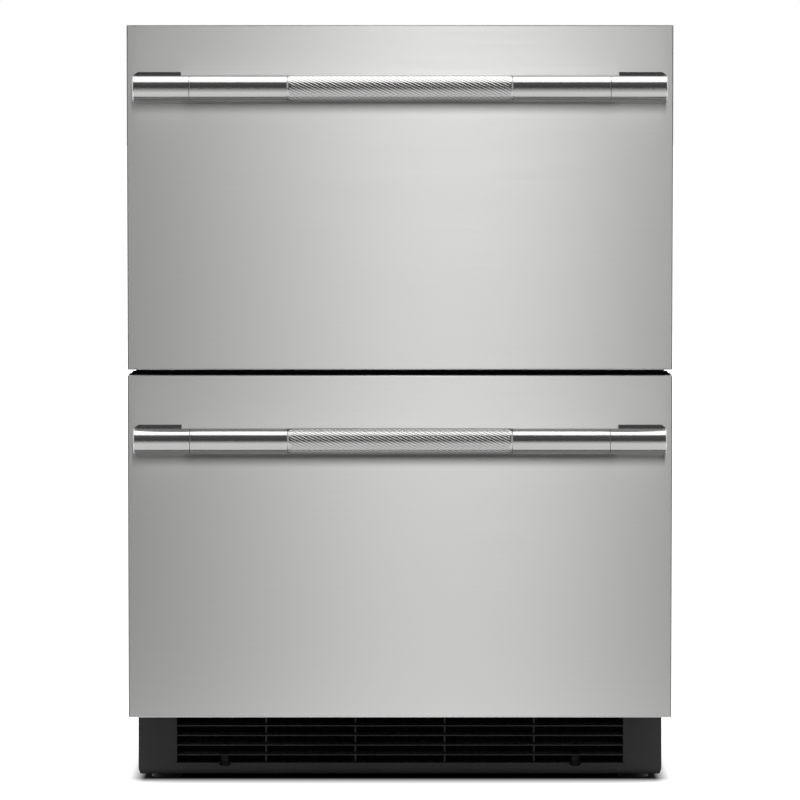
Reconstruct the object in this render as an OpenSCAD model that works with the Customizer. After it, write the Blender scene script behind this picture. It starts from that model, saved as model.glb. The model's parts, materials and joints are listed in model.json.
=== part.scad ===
// Undercounter drawer refrigerator: two drawer fronts with tube handles over a toe grille.
// Millimetres. The front faces -Y, +X is the right hand side seen from the front, the floor is z = 0.
// The origin is the middle of the footprint on the floor.

/* [Overall] */
// Height of the upper front's top edge above the floor, legs screwed in
unit_h = 854; // [830:1:900]
// Height of the lower front's bottom edge above the floor
toe_h = 83; // [76:1:110]
// Width of the drawer fronts
front_w = 606; // [600:1:660]
// Width of the cabinet behind the fronts
cab_w = 593; // [560:1:600]
// Depth of the cabinet without the fronts
cab_d = 548; // [540:1:640]
// How far the cabinet's top stays below the upper front's top edge
top_drop = 3; // [0:0.5:12]
// Gap between the two drawer fronts
front_gap = 6; // [4:0.5:12]

/* [Cabinet walls] */
// Insulated side wall, over both skins
wall_side = 38; // [30:1:50]
// Insulated top
wall_top = 40; // [30:1:60]
// Insulated back
wall_back = 45; // [35:1:55]
// Insulated floor
wall_floor = 35; // [30:1:50]
// Insulation round the machine compartment
wall_hump = 35; // [25:1:45]
// Steel sheet of the cabinet
sheet_t = 1; // [0.6:0.1:1.5]
// Outside bend radius of the cabinet's sheet
bend_r = 3; // [1.6:0.1:6]
// Plastic of the inner liner
liner_t = 2.5; // [1.5:0.1:3.5]
// Corner radius of the liner's mouth
mouth_r = 12; // [6:1:25]
// Height of the rail between the two drawers
rail_h = 44; // [38:1:60]
// Depth of the rail between the two drawers
rail_d = 45; // [25:1:80]
// Depth of the machine compartment at the back
mach_d = 180; // [172:1:200]
// Height of the machine compartment above the base pan
mach_h = 196; // [186:1:210]

/* [Drawer fronts] */
// Thickness of a drawer front
front_t = 50; // [40:1:65]
// Steel skin of a drawer front
skin_t = 1; // [0.6:0.1:1.5]
// Outside bend radius of the steel skin
edge_r = 2.5; // [1.8:0.1:5]
// Depth of the skin's hem over the top and bottom edges
hem_d = 3.5; // [3:0.1:8]
// Plate of the black caps on the top and bottom edges
cap_t = 2.5; // [1.8:0.1:4]
// Plastic of the inner panel
panel_t = 2; // [1.6:0.1:3]
// How far the inner panel's raised middle stands into the cabinet's mouth, from the panel
dike_d = 18; // [16:1:24]
// Clearance of the raised middle in the mouth
dike_gap = 6; // [4:0.5:12]
// Space between a closed front and the cabinet
seal_d = 12; // [10:0.5:14]
// Width of the gasket
gasket_w = 10; // [8:0.5:12]
// Clearance between the gasket and the cabinet
seal_gap = 0.4; // [0.3:0.05:0.8]
// Distance of the gasket from the mouth's edge
gasket_edge = 4; // [3.5:0.5:6]

/* [Handles] */
// Diameter of the handle
handle_d = 28.6; // [24:0.1:36]
// Distance of the handle's ends from the front's sides
handle_in = 9; // [5:0.5:40]
// Distance from the front's face to the handle's axis
handle_reach = 49.2; // [40:0.1:70]
// Distance from the front's top edge down to the handle's axis
handle_drop = 70; // [50:1:120]
// Length of the knurled grip in the middle
grip_l = 248; // [120:1:320]
// Number of ridges round the grip
knurl_n = 24; // [16:2:28]
// Depth of the grooves between the ridges
knurl_d = 0.45; // [0.2:0.05:0.7]
// Length in which a ridge goes once round the grip
knurl_lead = 155.7; // [120:0.1:400]
// Length of each end piece that carries the handle
end_l = 62; // [56:1:90]
// Width of the leg behind each end piece
post_w = 53; // [44:1:55]
// How far the leg's top stands above the tube
post_rise = 3.6; // [1:0.1:6]
// Chamfer of the leg's outer top corner
post_cut = 5.5; // [3:0.1:9]
// Radius of the spigots that join the tube's pieces
spigot_r = 8; // [6:0.5:9]
// Length of each spigot
spigot_l = 20; // [12:1:30]
// Radius of the handle bolts
bolt_r = 2.5; // [2:0.1:3.5]
// How far the handle bolts reach into a leg
bolt_grip = 18; // [10:1:26]

/* [Slides and bins] */
// Space behind the slides, up to the cabinet's back lining
slide_back_gap = 45; // [35:1:55]
// How much of a slide stays inside when its drawer is open
slide_stay = 30; // [20:1:90]
// Height of a slide
slide_h = 45; // [44:0.5:48]
// Thickness of a slide
slide_t = 12.7; // [12.5:0.1:14]
// Steel strip of a slide's members
strip_t = 1.2; // [1:0.1:1.3]
// Diameter of the slides' balls
ball_d = 3.6; // [3:0.1:3.8]
// Running clearance of each ball
ball_play = 0.25; // [0.15:0.05:0.3]
// Strip of the ball cages
cage_t = 0.8; // [0.6:0.1:0.9]
// Clearance on each side of a cage
cage_gap = 0.5; // [0.4:0.05:0.6]
// Balls in each row
ball_n = 6; // [4:1:10]
// Distance of the slides behind the cabinet's front
slide_in = 8; // [7:0.5:12]
// Steel of the drawer carriers
carrier_t = 2; // [1.5:0.1:2.3]
// Width of the lip that a bin hangs on
lip_w = 6; // [4:0.5:10]
// Height of the lip above the slide's middle
lip_z = 28; // [25:0.5:36]
// Wall of a bin
bin_t = 2.5; // [2:0.1:4]
// Space behind a bin, up to the air cooler's cover
bin_back_gap = 8.5; // [5:0.5:60]
// Corner radius of a bin
bin_r = 10; // [6:1:20]
// Clearance under a bin
bin_floor_gap = 8; // [5:1:20]
// Clearance beside a bin's wide upper part
bin_side_gap = 4.5; // [4:0.5:10]
// Space above the lower bin
lower_bin_gap = 12; // [10:1:60]
// Space above the upper bin, under the control panel
upper_bin_gap = 40; // [32:1:80]

/* [Toe grille] */
// Distance of the toe grille behind the fronts' faces
grille_in = 95; // [85:1:110]
// Height of the grille's lower edge above the floor
grille_z = 7; // [6:0.5:10]
// Plate of the grille
grille_t = 2; // [1.5:0.1:3]
// Radius of the grille's rolled lower edge
grille_roll = 7; // [4:0.5:9]
// Width of the grille's opening
grille_open_w = 506; // [460:1:530]
// Height of the opening's lower edge above the grille's lower edge
grille_sill = 13.2; // [11:0.1:15]
// Number of louvre blades
louvre_n = 5; // [3:1:7]
// Height from the opening's lower edge to the first blade
louvre_z = 9.6; // [8:0.1:12]
// Spacing of the blades
louvre_pitch = 11; // [8:0.5:12]
// Thickness of a blade
louvre_t = 1.2; // [0.8:0.1:2]
// Depth of the blades and ribs
louvre_d = 11; // [9:0.5:15]
// Rise of a blade from front to back
louvre_rise = 2.1; // [1.5:0.1:9]
// Number of upright ribs
rib_n = 4; // [2:1:8]
// Thickness of a rib
rib_t = 1.6; // [1:0.1:3]
// How far behind the grille's face the ribs reach down to the blades
rib_in = 8; // [2:0.5:9]
// Height above a blade at which the front part of a rib ends
rib_gap = 3.3; // [2:0.1:6]
// Distance of the screws from the middle
screw_x = 198.6; // [180:0.1:200]
// Height of the screws above the opening's lower edge
screw_z = 4.3; // [3:0.1:6]
// Radius of the round recess at each screw
recess_r = 8.8; // [6:0.1:9]

/* [Legs] */
// How far a leg can be screwed out
leg_travel = 25; // [10:1:30]
// Radius of a leg's pad
pad_r = 17; // [14:0.5:22]
// Height of a leg's pad
pad_h = 8; // [6:0.5:9]
// Radius of a leg's threaded stud
stud_r = 5; // [4:0.5:6]
// Distance of the legs from the cabinet's sides
leg_x = 30; // [26:1:34]
// Distance of the front legs behind the grille
leg_y = 45; // [35:1:80]
// Height of the base pan's underside above the floor
pan_z = 12; // [12:0.5:14]
// Steel of the base pan
pan_t = 2; // [1.5:0.1:2.5]
// Height of a leg's threaded boss above the pan
boss_h = 18; // [12:1:20]

/* [Hidden] */
$fn = 48;

steel = [0.78, 0.78, 0.77];
dark_steel = [0.33, 0.34, 0.35];
zinc = [0.66, 0.68, 0.70];
black = [0.07, 0.07, 0.075];
charcoal = [0.19, 0.19, 0.20];
white = [0.90, 0.91, 0.91];
foam = [0.92, 0.86, 0.66];
copper = [0.74, 0.45, 0.30];

// Places along the depth, front to back; the cord gland stands out of the back
gland_out = 6;
unit_d = handle_reach + handle_d / 2 + front_t + seal_d + cab_d + gland_out;
handle_y = -unit_d / 2 + handle_d / 2;
handle_l = front_w - 2 * handle_in;
face_y = handle_y + handle_reach;
back_y = face_y + front_t;
cab_y = back_y + seal_d;
rear_y = cab_y + cab_d;
grille_y = face_y + grille_in;
mach_y = rear_y - mach_d;
hump_y = mach_y - wall_hump;
liner_y = rear_y - wall_back;

// Places along the height, floor to top
pan_top = pan_z + pan_t;
belly_z = toe_h + 4;
mach_z = pan_top + mach_h;
hump_z = mach_z + wall_hump;
mouth_z0 = belly_z + wall_floor;
cab_z = unit_h - top_drop;
mouth_z1 = cab_z - wall_top;
front_h = (unit_h - toe_h - front_gap) / 2;
rail_z = toe_h + front_h + front_gap / 2;
lower_z = toe_h;
upper_z = unit_h - front_h;
// Each drawer's mouth: bottom and top
lower_m0 = mouth_z0;
lower_m1 = rail_z - rail_h / 2;
upper_m0 = rail_z + rail_h / 2;
upper_m1 = mouth_z1;

// Widths
mouth_w = cab_w - 2 * wall_side;
mouth_x = mouth_w / 2;
in_x = cab_w / 2 - sheet_t;
flange_gap = 0.5;
flange_edge = liner_t + flange_gap;
liner_lip = 8;

// Slides: distances from the liner's wall inward, and from the slide's middle up
cage1_u = strip_t + cage_gap;
mid_u = cage1_u + cage_t + cage_gap;
cage2_u = mid_u + strip_t + cage_gap;
inner_u = cage2_u + cage_t + cage_gap;
ball1_u = inner_u;
ball2_u = (inner_u + slide_t - strip_t) / 2;
ball1_v = slide_h / 2 - strip_t - ball_play - ball_d / 2;
mid_v = ball1_v - ball_d / 2 - ball_play;
ball2_v = mid_v - strip_t - ball_play - ball_d / 2;
inner_v = ball2_v - ball_d / 2 - ball_play;
carrier_u = slide_t + carrier_t;
slide_rise = hump_z - mouth_z0 + slide_h / 2 + 5;
lower_s = lower_m0 + slide_rise;
upper_s = upper_m0 + slide_rise;
slide_y = cab_y + slide_in;
slide_l = liner_y - slide_back_gap - slide_y;
travel = slide_l - slide_stay;
cage_l = slide_l - travel / 2 - 40;
cage_y = slide_y + (slide_l - cage_l) / 2;
dike_y = back_y + dike_d;
flange_y = dike_y + carrier_t;
bin_y = flange_y + 0.5;
cover_d = 46;
bin_l = liner_y - cover_d - bin_back_gap - bin_y;
bin_low_x = mouth_x - carrier_u - lip_w - 0.8;
bin_up_x = mouth_x - bin_side_gap;

// Machine compartment
comp_r = 72;
comp_x = 112;
comp_y = mach_y + mach_d / 2;
grommet_h = 12;
comp_h = 152;
comp_out = comp_h + 2.8;
pipe_z = 110;
comp_z = pan_top + grommet_h;
foot_x = 72;
foot_y = 56;
foot_r = 5;
cond_x = -240;
cond_t = 48;
cond_y0 = mach_y + 6;
cond_y1 = rear_y - sheet_t - 6;
cond_z1 = pan_top + 172;
fan_z = (pan_top + cond_z1) / 2;
fan_x = cond_x + cond_t + 5;
fan_r = 66;
tube_r = 4;
riser_x = 205;
riser_y = liner_y - 24;
run_fit = 0.05;
gland_r = 8;
gland_bore = 4.2;
gland_x = 240;
gland_z = pan_top + 50;

// Air cooler behind the drawers
cover_x = 225;
cover_z0 = hump_z + 8;
cover_z1 = upper_m1 - 20;
cover_t = 2;
coil_z0 = cover_z0 + 45;
coil_h = 200;
blower_z = upper_s + 30;
blower_r = 46;
blower_arm = 70;
panel_x = 70;

// ---------- shared shapes ----------

// A profile drawn in x and z, carried back along y
module along_y(y0, l) translate([0, y0 + l, 0]) rotate([90, 0, 0]) linear_extrude(l) children();

// A profile drawn in y and z, carried to the right along x
module along_x(x0, l) translate([x0, 0, 0]) rotate([90, 0, 90]) linear_extrude(l) children();

module block(x0, x1, y0, y1, z0, z1) translate([x0, y0, z0]) cube([x1 - x0, y1 - y0, z1 - z0]);

module both_sides() {
    children();
    mirror([1, 0, 0]) children();
}

// Rectangle with true round corners, on its centre
module rrect(w, h, r) {
    square([w - 2 * r, h], center = true);
    square([w, h - 2 * r], center = true);
    for (i = [-1, 1], j = [-1, 1]) translate([i * (w / 2 - r), j * (h / 2 - r)]) circle(r);
}

// Rod along x with a rounded end at its far end
module rod_x(x0, l, r, rr) {
    translate([x0, 0, 0]) rotate([0, 90, 0]) rotate_extrude() {
        square([r - rr, l]);
        square([r, l - rr]);
        translate([r - rr, l - rr]) intersection() {
            circle(rr);
            square(rr);
        }
    }
}

// Plain rod between two points
module rod(p, q, r) {
    d = q - p;
    l = norm(d);
    translate(p) rotate([0, acos(d[2] / l), atan2(d[1], d[0])]) cylinder(h = l, r = r);
}

function unit(v) = v / norm(v);

// Tube through points that turn at right angles, with bends of radius b
module tube(p, r, b) {
    last = len(p) - 2;
    for (i = [0 : last]) {
        d = unit(p[i + 1] - p[i]);
        rod(p[i] + (i > 0 ? b : 0) * d, p[i + 1] - (i < last ? b : 0) * d, r);
    }
    for (i = [1 : 1 : last]) {
        d = unit(p[i] - p[i - 1]);
        e = unit(p[i + 1] - p[i]);
        n = cross(d, e);
        c = p[i] + b * (e - d);
        multmatrix([[-e[0], d[0], n[0], c[0]], [-e[1], d[1], n[1], c[1]], [-e[2], d[2], n[2], c[2]]])
            rotate_extrude(angle = 90) translate([b, 0]) circle(r);
    }
}

// ---------- cabinet ----------

// The cabinet's outline in x and z, shrunk by i, with bent top corners
module cab_outline(i, z0) {
    r = bend_r - i;
    w = cab_w / 2 - i;
    t = cab_z - i;
    translate([-w, z0]) square([2 * w, t - r - z0]);
    translate([-w + r, z0]) square([2 * (w - r), t - z0]);
    for (s = [-1, 1]) translate([s * (w - r), t - r]) circle(r);
}

// The liner's mouth with everything grown by i
module mouth_outline(i) translate([0, (mouth_z0 + mouth_z1) / 2])
    rrect(mouth_w + 2 * i, mouth_z1 - mouth_z0 + 2 * i, mouth_r + i);

// The room inside the liner with everything grown by i: a box with the hump cut away
module room(i, y0) difference() {
    along_y(y0, liner_y + i - y0) mouth_outline(i);
    block(-mouth_w, mouth_w, hump_y + i, rear_y, 0, hump_z - i);
}

module outer_shell() color(dark_steel) {
    difference() {
        along_y(cab_y, cab_d) cab_outline(0, pan_z);
        along_y(cab_y + sheet_t, cab_d) cab_outline(sheet_t, pan_z - 1);
        along_y(cab_y - 1, sheet_t + 2) mouth_outline(flange_edge);
        block(-cab_w, cab_w, cab_y - 1, grille_y + grille_t + 0.5, 0, belly_z);
        block(-in_x, in_x, cab_y - 1, rear_y, 0, belly_z);
    }
}

module rear_panel() color(zinc) difference() {
    along_y(rear_y - sheet_t, sheet_t) cab_outline(sheet_t, pan_z);
    for (x = [-190, 0], i = [0 : 9]) block(x - 60, x + 60, rear_y - 5, rear_y + 1,
        pan_top + 40 + 12 * i, pan_top + 45 + 12 * i);
    translate([gland_x, rear_y - 5, gland_z]) rotate([-90, 0, 0]) cylinder(h = 10, r = gland_r);
}

module cabinet_insulation() color(foam) difference() {
    along_y(cab_y + sheet_t, cab_d - 2 * sheet_t) cab_outline(sheet_t, belly_z + sheet_t);
    room(liner_t, cab_y - 1);
    along_y(cab_y, sheet_t + liner_t) mouth_outline(liner_lip);
    block(-cab_w, cab_w, mach_y - sheet_t, rear_y + 1, 0, mach_z + sheet_t);
    risers(1);
}

module inner_liner() color(white) difference() {
    union() {
        room(liner_t, cab_y);
        along_y(cab_y + sheet_t, liner_t) mouth_outline(liner_lip);
    }
    room(0, cab_y - 1);
    risers(1);
}

module divider_rail() color(charcoal) along_x(-mouth_x, mouth_w)
    translate([cab_y + rail_d / 2, rail_z]) rrect(rail_d, rail_h, 3);

module belly_panel() color(zinc) difference() {
    along_x(-in_x, 2 * in_x) {
        translate([cab_y + sheet_t, belly_z]) square([mach_y - cab_y - sheet_t, sheet_t]);
        translate([mach_y - sheet_t, belly_z]) square([sheet_t, mach_z + sheet_t - belly_z]);
        translate([mach_y - sheet_t, mach_z]) square([mach_d, sheet_t]);
    }
    risers(1);
}

// Legs' places
leg_px = cab_w / 2 - leg_x;
leg_fy = grille_y + leg_y;
leg_ry = rear_y - leg_x;
stud_top = pan_top + boss_h + leg_travel + 5;

module base_pan() color(zinc) difference() {
    union() {
        block(-in_x, in_x, grille_y + grille_t + louvre_d, rear_y - sheet_t, pan_z, pan_top);
        both_sides() block(in_x - pan_t, in_x, grille_y + grille_t + louvre_d, rear_y - sheet_t,
            pan_z, pan_top + 20);
        block(-in_x, in_x, grille_y + grille_t + louvre_d, grille_y + grille_t + louvre_d + pan_t,
            pan_z, grille_z + grille_sill - 1);
        both_sides() block(screw_x - 5, screw_x + 5, grille_y + grille_t + louvre_d,
            grille_y + grille_t + louvre_d + pan_t, pan_z, grille_z + grille_sill + screw_z + 5);
        both_sides() for (y = [leg_fy, leg_ry]) translate([leg_px, y, pan_z])
            cylinder(h = pan_t + boss_h, r = stud_r + 5);
    }
    both_sides() for (y = [leg_fy, leg_ry]) translate([leg_px, y, pan_z - 1])
        cylinder(h = pan_t + boss_h + 2, r = stud_r + run_fit);
    both_sides() translate([screw_x, grille_y, grille_z + grille_sill + screw_z]) rotate([-90, 0, 0])
        cylinder(h = 40, r = 2.05);
}

module leg(x, y) color(charcoal) translate([x, y, 0]) {
    cylinder(h = pad_h, r1 = pad_r, r2 = pad_r - 3);
    translate([0, 0, pad_h]) cylinder(h = pan_z - pad_h - 0.4, r = 9, $fn = 6);
    translate([0, 0, pad_h]) cylinder(h = stud_top - pad_h, r = stud_r);
}

// ---------- toe grille ----------

sill_z = grille_z + grille_sill;
open_h = louvre_z + (louvre_n - 1) * louvre_pitch + 6;
grille_z1 = min(belly_z - 0.5, sill_z + open_h + 6);
open_z1 = min(sill_z + open_h, grille_z1 - 4);

module grille_hole(i) {
    translate([-grille_open_w / 2 - i, sill_z - i]) square([grille_open_w + 2 * i, open_z1 - sill_z + 2 * i]);
}

module blade(z) along_x(-grille_open_w / 2 - 0.5, grille_open_w + 1) polygon([
    [grille_y + 0.4, z], [grille_y + grille_t + louvre_d, z + louvre_rise],
    [grille_y + grille_t + louvre_d, z + louvre_rise - louvre_t], [grille_y + 0.4, z - louvre_t]]);

module toe_grille() color(black) difference() {
    union() {
        difference() {
            union() {
                along_y(grille_y, grille_t) translate([-cab_w / 2, grille_z + grille_roll])
                    square([cab_w, grille_z1 - grille_z - grille_roll]);
                along_x(-cab_w / 2, cab_w) translate([grille_y + grille_roll, grille_z + grille_roll])
                    difference() {
                        circle(grille_roll);
                        circle(grille_roll - grille_t);
                        translate([0, -50]) square(100);
                        translate([-50, 0]) square(100);
                    }
                along_x(-in_x + 0.3, 2 * in_x - 0.6) {
                    translate([grille_y + grille_roll - 0.1, grille_z])
                        square([grille_t + louvre_d - grille_roll - 0.2, grille_t]);
                    translate([grille_y, grille_z1 - grille_t]) square([louvre_d, grille_t]);
                }
                along_y(grille_y, grille_t + louvre_d - 0.3) difference() {
                    grille_hole(1.6);
                    grille_hole(0);
                }
            }
            along_y(grille_y - 1, grille_t + 2) grille_hole(0);
            both_sides() translate([screw_x, grille_y - 1, sill_z + screw_z]) rotate([-90, 0, 0])
                cylinder(h = 7, r = recess_r);
            both_sides() along_y(grille_y - 1, 40) polygon([
                [cab_w / 2 + 1, grille_z - 1], [cab_w / 2 - 2.3, grille_z - 1],
                [cab_w / 2 - 2, grille_z], [cab_w / 2, grille_z + grille_roll], [cab_w / 2 + 1, grille_z + grille_roll]]);
        }
        intersection() {
            for (i = [0 : louvre_n - 1]) blade(sill_z + louvre_z + i * louvre_pitch);
            block(-cab_w, cab_w, grille_y - 1, grille_y + grille_t + louvre_d - 0.3, sill_z, open_z1 + 0.5);
        }
        for (i = [0 : rib_n - 1]) {
            x = (i - (rib_n - 1) / 2) * grille_open_w / (rib_n + 1);
            block(x - rib_t / 2, x + rib_t / 2, grille_y + rib_in, grille_y + grille_t + louvre_d - 0.3,
                sill_z - 0.5, open_z1 + 0.5);
            for (k = [0 : louvre_n]) {
                z = sill_z + louvre_z + k * louvre_pitch - louvre_t / 2;
                z0 = k == 0 ? sill_z + 2.4 : z - louvre_pitch + louvre_t / 2 + rib_gap;
                lean = louvre_rise / (grille_t + louvre_d - 0.4);
                along_x(x - rib_t / 2, rib_t) polygon([[grille_y + 1, z0], [grille_y + rib_in + 0.5, z0],
                    [grille_y + rib_in + 0.5, k == louvre_n ? open_z1 + 0.5 : z + lean * (rib_in + 0.1)],
                    [grille_y + 1, k == louvre_n ? open_z1 + 0.5 : z + lean * 0.6]]);
            }
        }
        both_sides() block(screw_x - 3.6, screw_x + 3.6, grille_y + 6, grille_y + grille_t + louvre_d,
            grille_z + grille_t - 0.5, sill_z + louvre_z + 1.5);
    }
    both_sides() translate([screw_x, grille_y - 1, sill_z + screw_z]) rotate([-90, 0, 0])
        cylinder(h = 40, r = 2.1);
}

module toe_grille_screws() color(zinc) both_sides() translate([screw_x, grille_y, sill_z + screw_z])
    rotate([-90, 0, 0]) {
        translate([0, 0, 3.8]) cylinder(h = 2.2, r = 3.4);
        translate([0, 0, 5]) cylinder(h = grille_t + louvre_d + pan_t - 2, r = 2);
    }

// ---------- machinery ----------

module compressor() color(black) {
    difference() {
        translate([comp_x, comp_y, comp_z]) linear_extrude(3) rrect(2 * foot_x + 26, 2 * foot_y + 26, 12);
        for (i = [-1, 1], j = [-1, 1]) translate([comp_x + i * foot_x, comp_y + j * foot_y, comp_z - 1])
            cylinder(h = 5, r = foot_r + 0.2);
    }
    translate([comp_x, comp_y, comp_z + 2.5]) {
        rotate_extrude() intersection() {
            union() {
                translate([0, 16]) square([comp_r, 118]);
                translate([0, 70]) square([comp_r + 4, 4]);
                translate([0, 64]) intersection() {
                    circle(r = comp_r + 20);
                    square([comp_r, 200]);
                }
                translate([0, 80]) intersection() {
                    circle(r = comp_r + 12);
                    translate([0, -200]) square([comp_r, 200]);
                }
            }
            square([200, comp_h]);
        }
        translate([comp_r - 12, -20, 40]) cube([30, 40, 44]);
    }
}

module compressor_grommets() color(charcoal)
    for (i = [-1, 1], j = [-1, 1]) translate([comp_x + i * foot_x, comp_y + j * foot_y, pan_top]) {
        cylinder(h = grommet_h, r = 11);
        cylinder(h = grommet_h + 3.4, r = foot_r);
        translate([0, 0, grommet_h + 3]) cylinder(h = 2, r = 8);
    }

module condenser() color(dark_steel) {
    for (i = [0 : 17]) {
        z = pan_top + 4 + i * (cond_z1 - pan_top - 8) / 17;
        block(cond_x, cond_x + cond_t, cond_y0, cond_y1, z - 0.4, z + 0.4);
    }
    for (i = [0 : 1], j = [0 : 4])
        translate([cond_x + cond_t * (i + 0.5) / 2, cond_y0 + (cond_y1 - cond_y0) * (j + 0.5) / 5, pan_top])
            cylinder(h = cond_z1 - pan_top, r = 4);
    for (y = [cond_y0, cond_y1 - 1.5]) block(cond_x, cond_x + cond_t, y, y + 1.5, pan_top, cond_z1);
}

// Fan wheel round z with its shaft pointing up
module wheel(r, hub_r, h, n, shaft_r, shaft_l) {
    cylinder(h = h, r = hub_r);
    cylinder(h = h + shaft_l, r = shaft_r);
    chord = 0.86 * 3.1416 * (r + hub_r) / n;
    intersection() {
        for (i = [0 : n - 1]) rotate([0, 0, i * 360 / n]) translate([hub_r - 3, 0, h / 2])
            rotate([atan((h - 3) / chord), 0, 0]) translate([0, -chord / 2, -0.8]) cube([r, chord, 1.6]);
        cylinder(h = h, r = r);
    }
}

// Motor round z above its wheel, with a bored nose for the wheel's shaft
module motor(r, h, shaft_r, shaft_l) difference() {
    cylinder(h = h, r = r);
    translate([0, 0, -1]) cylinder(h = shaft_l + 2, r = shaft_r + run_fit);
}

module condenser_fan_frame() color(charcoal) {
    difference() {
        union() {
            block(fan_x, fan_x + 2, cond_y0, cond_y1, pan_top, cond_z1);
            translate([fan_x, comp_y, fan_z]) rotate([0, 90, 0]) cylinder(h = 36, r = fan_r + 6);
        }
        translate([fan_x - 1, comp_y, fan_z]) rotate([0, 90, 0]) cylinder(h = 38, r = fan_r + 4);
    }
    translate([fan_x + 30, comp_y, fan_z]) rotate([0, 90, 0]) motor(20, 32, 3, 16);
    for (a = [45, 135, 225, 315]) translate([fan_x + 32, comp_y, fan_z]) rotate([a, 0, 0])
        translate([0, -4, 18]) cube([3, 8, fan_r - 13]);
}

module condenser_fan_blade() color(black) translate([fan_x + 2, comp_y, fan_z]) rotate([0, 90, 0])
    wheel(fan_r, 18, 26, 5, 3, 14);

module drain_pan() color(white) difference() {
    block(-140, 20, mach_y - 150, mach_y - 20, pan_top, pan_top + 26);
    block(-138, 18, mach_y - 148, mach_y - 22, pan_top + 2, pan_top + 30);
}

// Riser tubes between the machine compartment and the air cooler; grown by i they are their holes
module risers(i) {
    translate([riser_x, riser_y, mach_z - 12]) cylinder(h = cover_z0 + 60 - mach_z, r = tube_r + i);
    translate([riser_x - 20, riser_y - 10, mach_z - 12]) cylinder(h = cover_z0 + 60 - mach_z, r = 1.5 + i);
}

module refrigerant_tubes() color(copper) {
    // suction line, from the air cooler down to the compressor
    tube([[coil_x + 0.3, riser_y, cover_z0 + 30], [riser_x, riser_y, cover_z0 + 30],
        [riser_x, riser_y, comp_z + pipe_z], [riser_x, comp_y, comp_z + pipe_z],
        [comp_x + comp_r + 0.3, comp_y, comp_z + pipe_z]], tube_r, 10);
    // hot line, from the compressor over the fan to the condenser
    tube([[comp_x, comp_y, comp_z + comp_out], [comp_x, comp_y, cond_z1 + 10],
        [comp_x, cond_y0 + 20, cond_z1 + 10], [cond_x + cond_t / 4, cond_y0 + 20, cond_z1 + 10],
        [cond_x + cond_t / 4, cond_y0 + 20, cond_z1 + 0.3]], 3, 8);
    // filter drier and capillary
    tube([[cond_x + cond_t * 3 / 4, cond_y1 - 20, cond_z1 + 0.3], [cond_x + cond_t * 3 / 4, cond_y1 - 20, cond_z1 + 8],
        [cond_x + cond_t * 3 / 4 + 52, cond_y1 - 20, cond_z1 + 8]], 2.5, 6);
    rod([cond_x + cond_t * 3 / 4 + 50, cond_y1 - 20, cond_z1 + 8],
        [cond_x + cond_t * 3 / 4 + 130, cond_y1 - 20, cond_z1 + 8], 8);
    tube([[cond_x + cond_t * 3 / 4 + 125, cond_y1 - 20, cond_z1 + 8], [riser_x - 20, cond_y1 - 20, cond_z1 + 8],
        [riser_x - 20, riser_y - 10, cond_z1 + 8], [riser_x - 20, riser_y - 10, cover_z0 + 48],
        [coil_x + 0.3, riser_y - 10, cover_z0 + 48]], 1.5, 6);
}

module cord_gland() color(black) translate([gland_x, rear_y, gland_z]) rotate([-90, 0, 0]) difference() {
    union() {
        cylinder(h = gland_out, r1 = 13, r2 = 11);
        translate([0, 0, -12]) cylinder(h = 12.5, r = gland_r - 0.1);
        translate([0, 0, -4]) cylinder(h = 3, r = gland_r + 1.5);
    }
    translate([0, 0, -20]) cylinder(h = 40, r = gland_bore);
}

// ---------- air cooler ----------

coil_x = 150;

module evaporator() color(zinc) {
    for (i = [0 : 20]) {
        x = -coil_x + 8 + i * (2 * coil_x - 16) / 20;
        block(x - 0.4, x + 0.4, liner_y - cover_d + 8, liner_y - 6, coil_z0, coil_z0 + coil_h);
    }
    for (i = [0 : 1], j = [0 : 4])
        translate([-coil_x, liner_y - cover_d + 15 + 18 * i, coil_z0 + coil_h * (j + 0.5) / 5]) rotate([0, 90, 0])
            cylinder(h = 2 * coil_x, r = 4);
    both_sides() block(coil_x - 2, coil_x, liner_y - cover_d + 6, liner_y, coil_z0 - 34, coil_z0 + coil_h);
}

module evaporator_cover() color(white) difference() {
    block(-cover_x, cover_x, liner_y - cover_d, liner_y, cover_z0, cover_z1);
    block(-cover_x + cover_t, cover_x - cover_t, liner_y - cover_d + cover_t, liner_y + 1,
        cover_z0 + cover_t, cover_z1 - cover_t);
    // air outlet in front of the fan, in rings of slots
    for (a = [0 : 45 : 315]) translate([0, liner_y - cover_d - 1, blower_z]) rotate([0, a, 0])
        for (k = [0 : 2]) translate([-3 - 4 * k, 0, 16 + 11 * k]) cube([6 + 8 * k, 5, 6]);
    // return air slots at the foot
    for (i = [-8 : 8]) block(i * 22 - 7, i * 22 + 7, liner_y - cover_d - 1, liner_y - cover_d + 5,
        cover_z0 + 12, cover_z0 + 32);
    risers(1);
}

module evaporator_fan_motor() color(charcoal) {
    translate([0, liner_y - 20, blower_z]) rotate([-90, 0, 0]) motor(17, 20, 2.5, 12);
    difference() {
        block(-blower_arm, blower_arm, liner_y - 3, liner_y, blower_z - 12, blower_z + 12);
        translate([0, liner_y - 4, blower_z]) rotate([-90, 0, 0]) cylinder(h = 5, r = 17);
    }
}

module evaporator_fan_blade() color(white) translate([0, liner_y - 38, blower_z]) rotate([-90, 0, 0])
    wheel(blower_r, 13, 16, 5, 2.5, 12);

// ---------- fittings in the mouth and on the top ----------

module control_panel() color(black) difference() {
    along_x(-panel_x, 2 * panel_x) polygon([[cab_y + 6, mouth_z1], [cab_y + 6, mouth_z1 - 10], [cab_y + 16, mouth_z1 - 22],
        [cab_y + 62, mouth_z1 - 22], [cab_y + 62, mouth_z1]]);
    translate([0, cab_y + 10, mouth_z1 - 17]) rotate([40, 0, 0]) cube([90, 12, 1], center = true);
}

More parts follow.
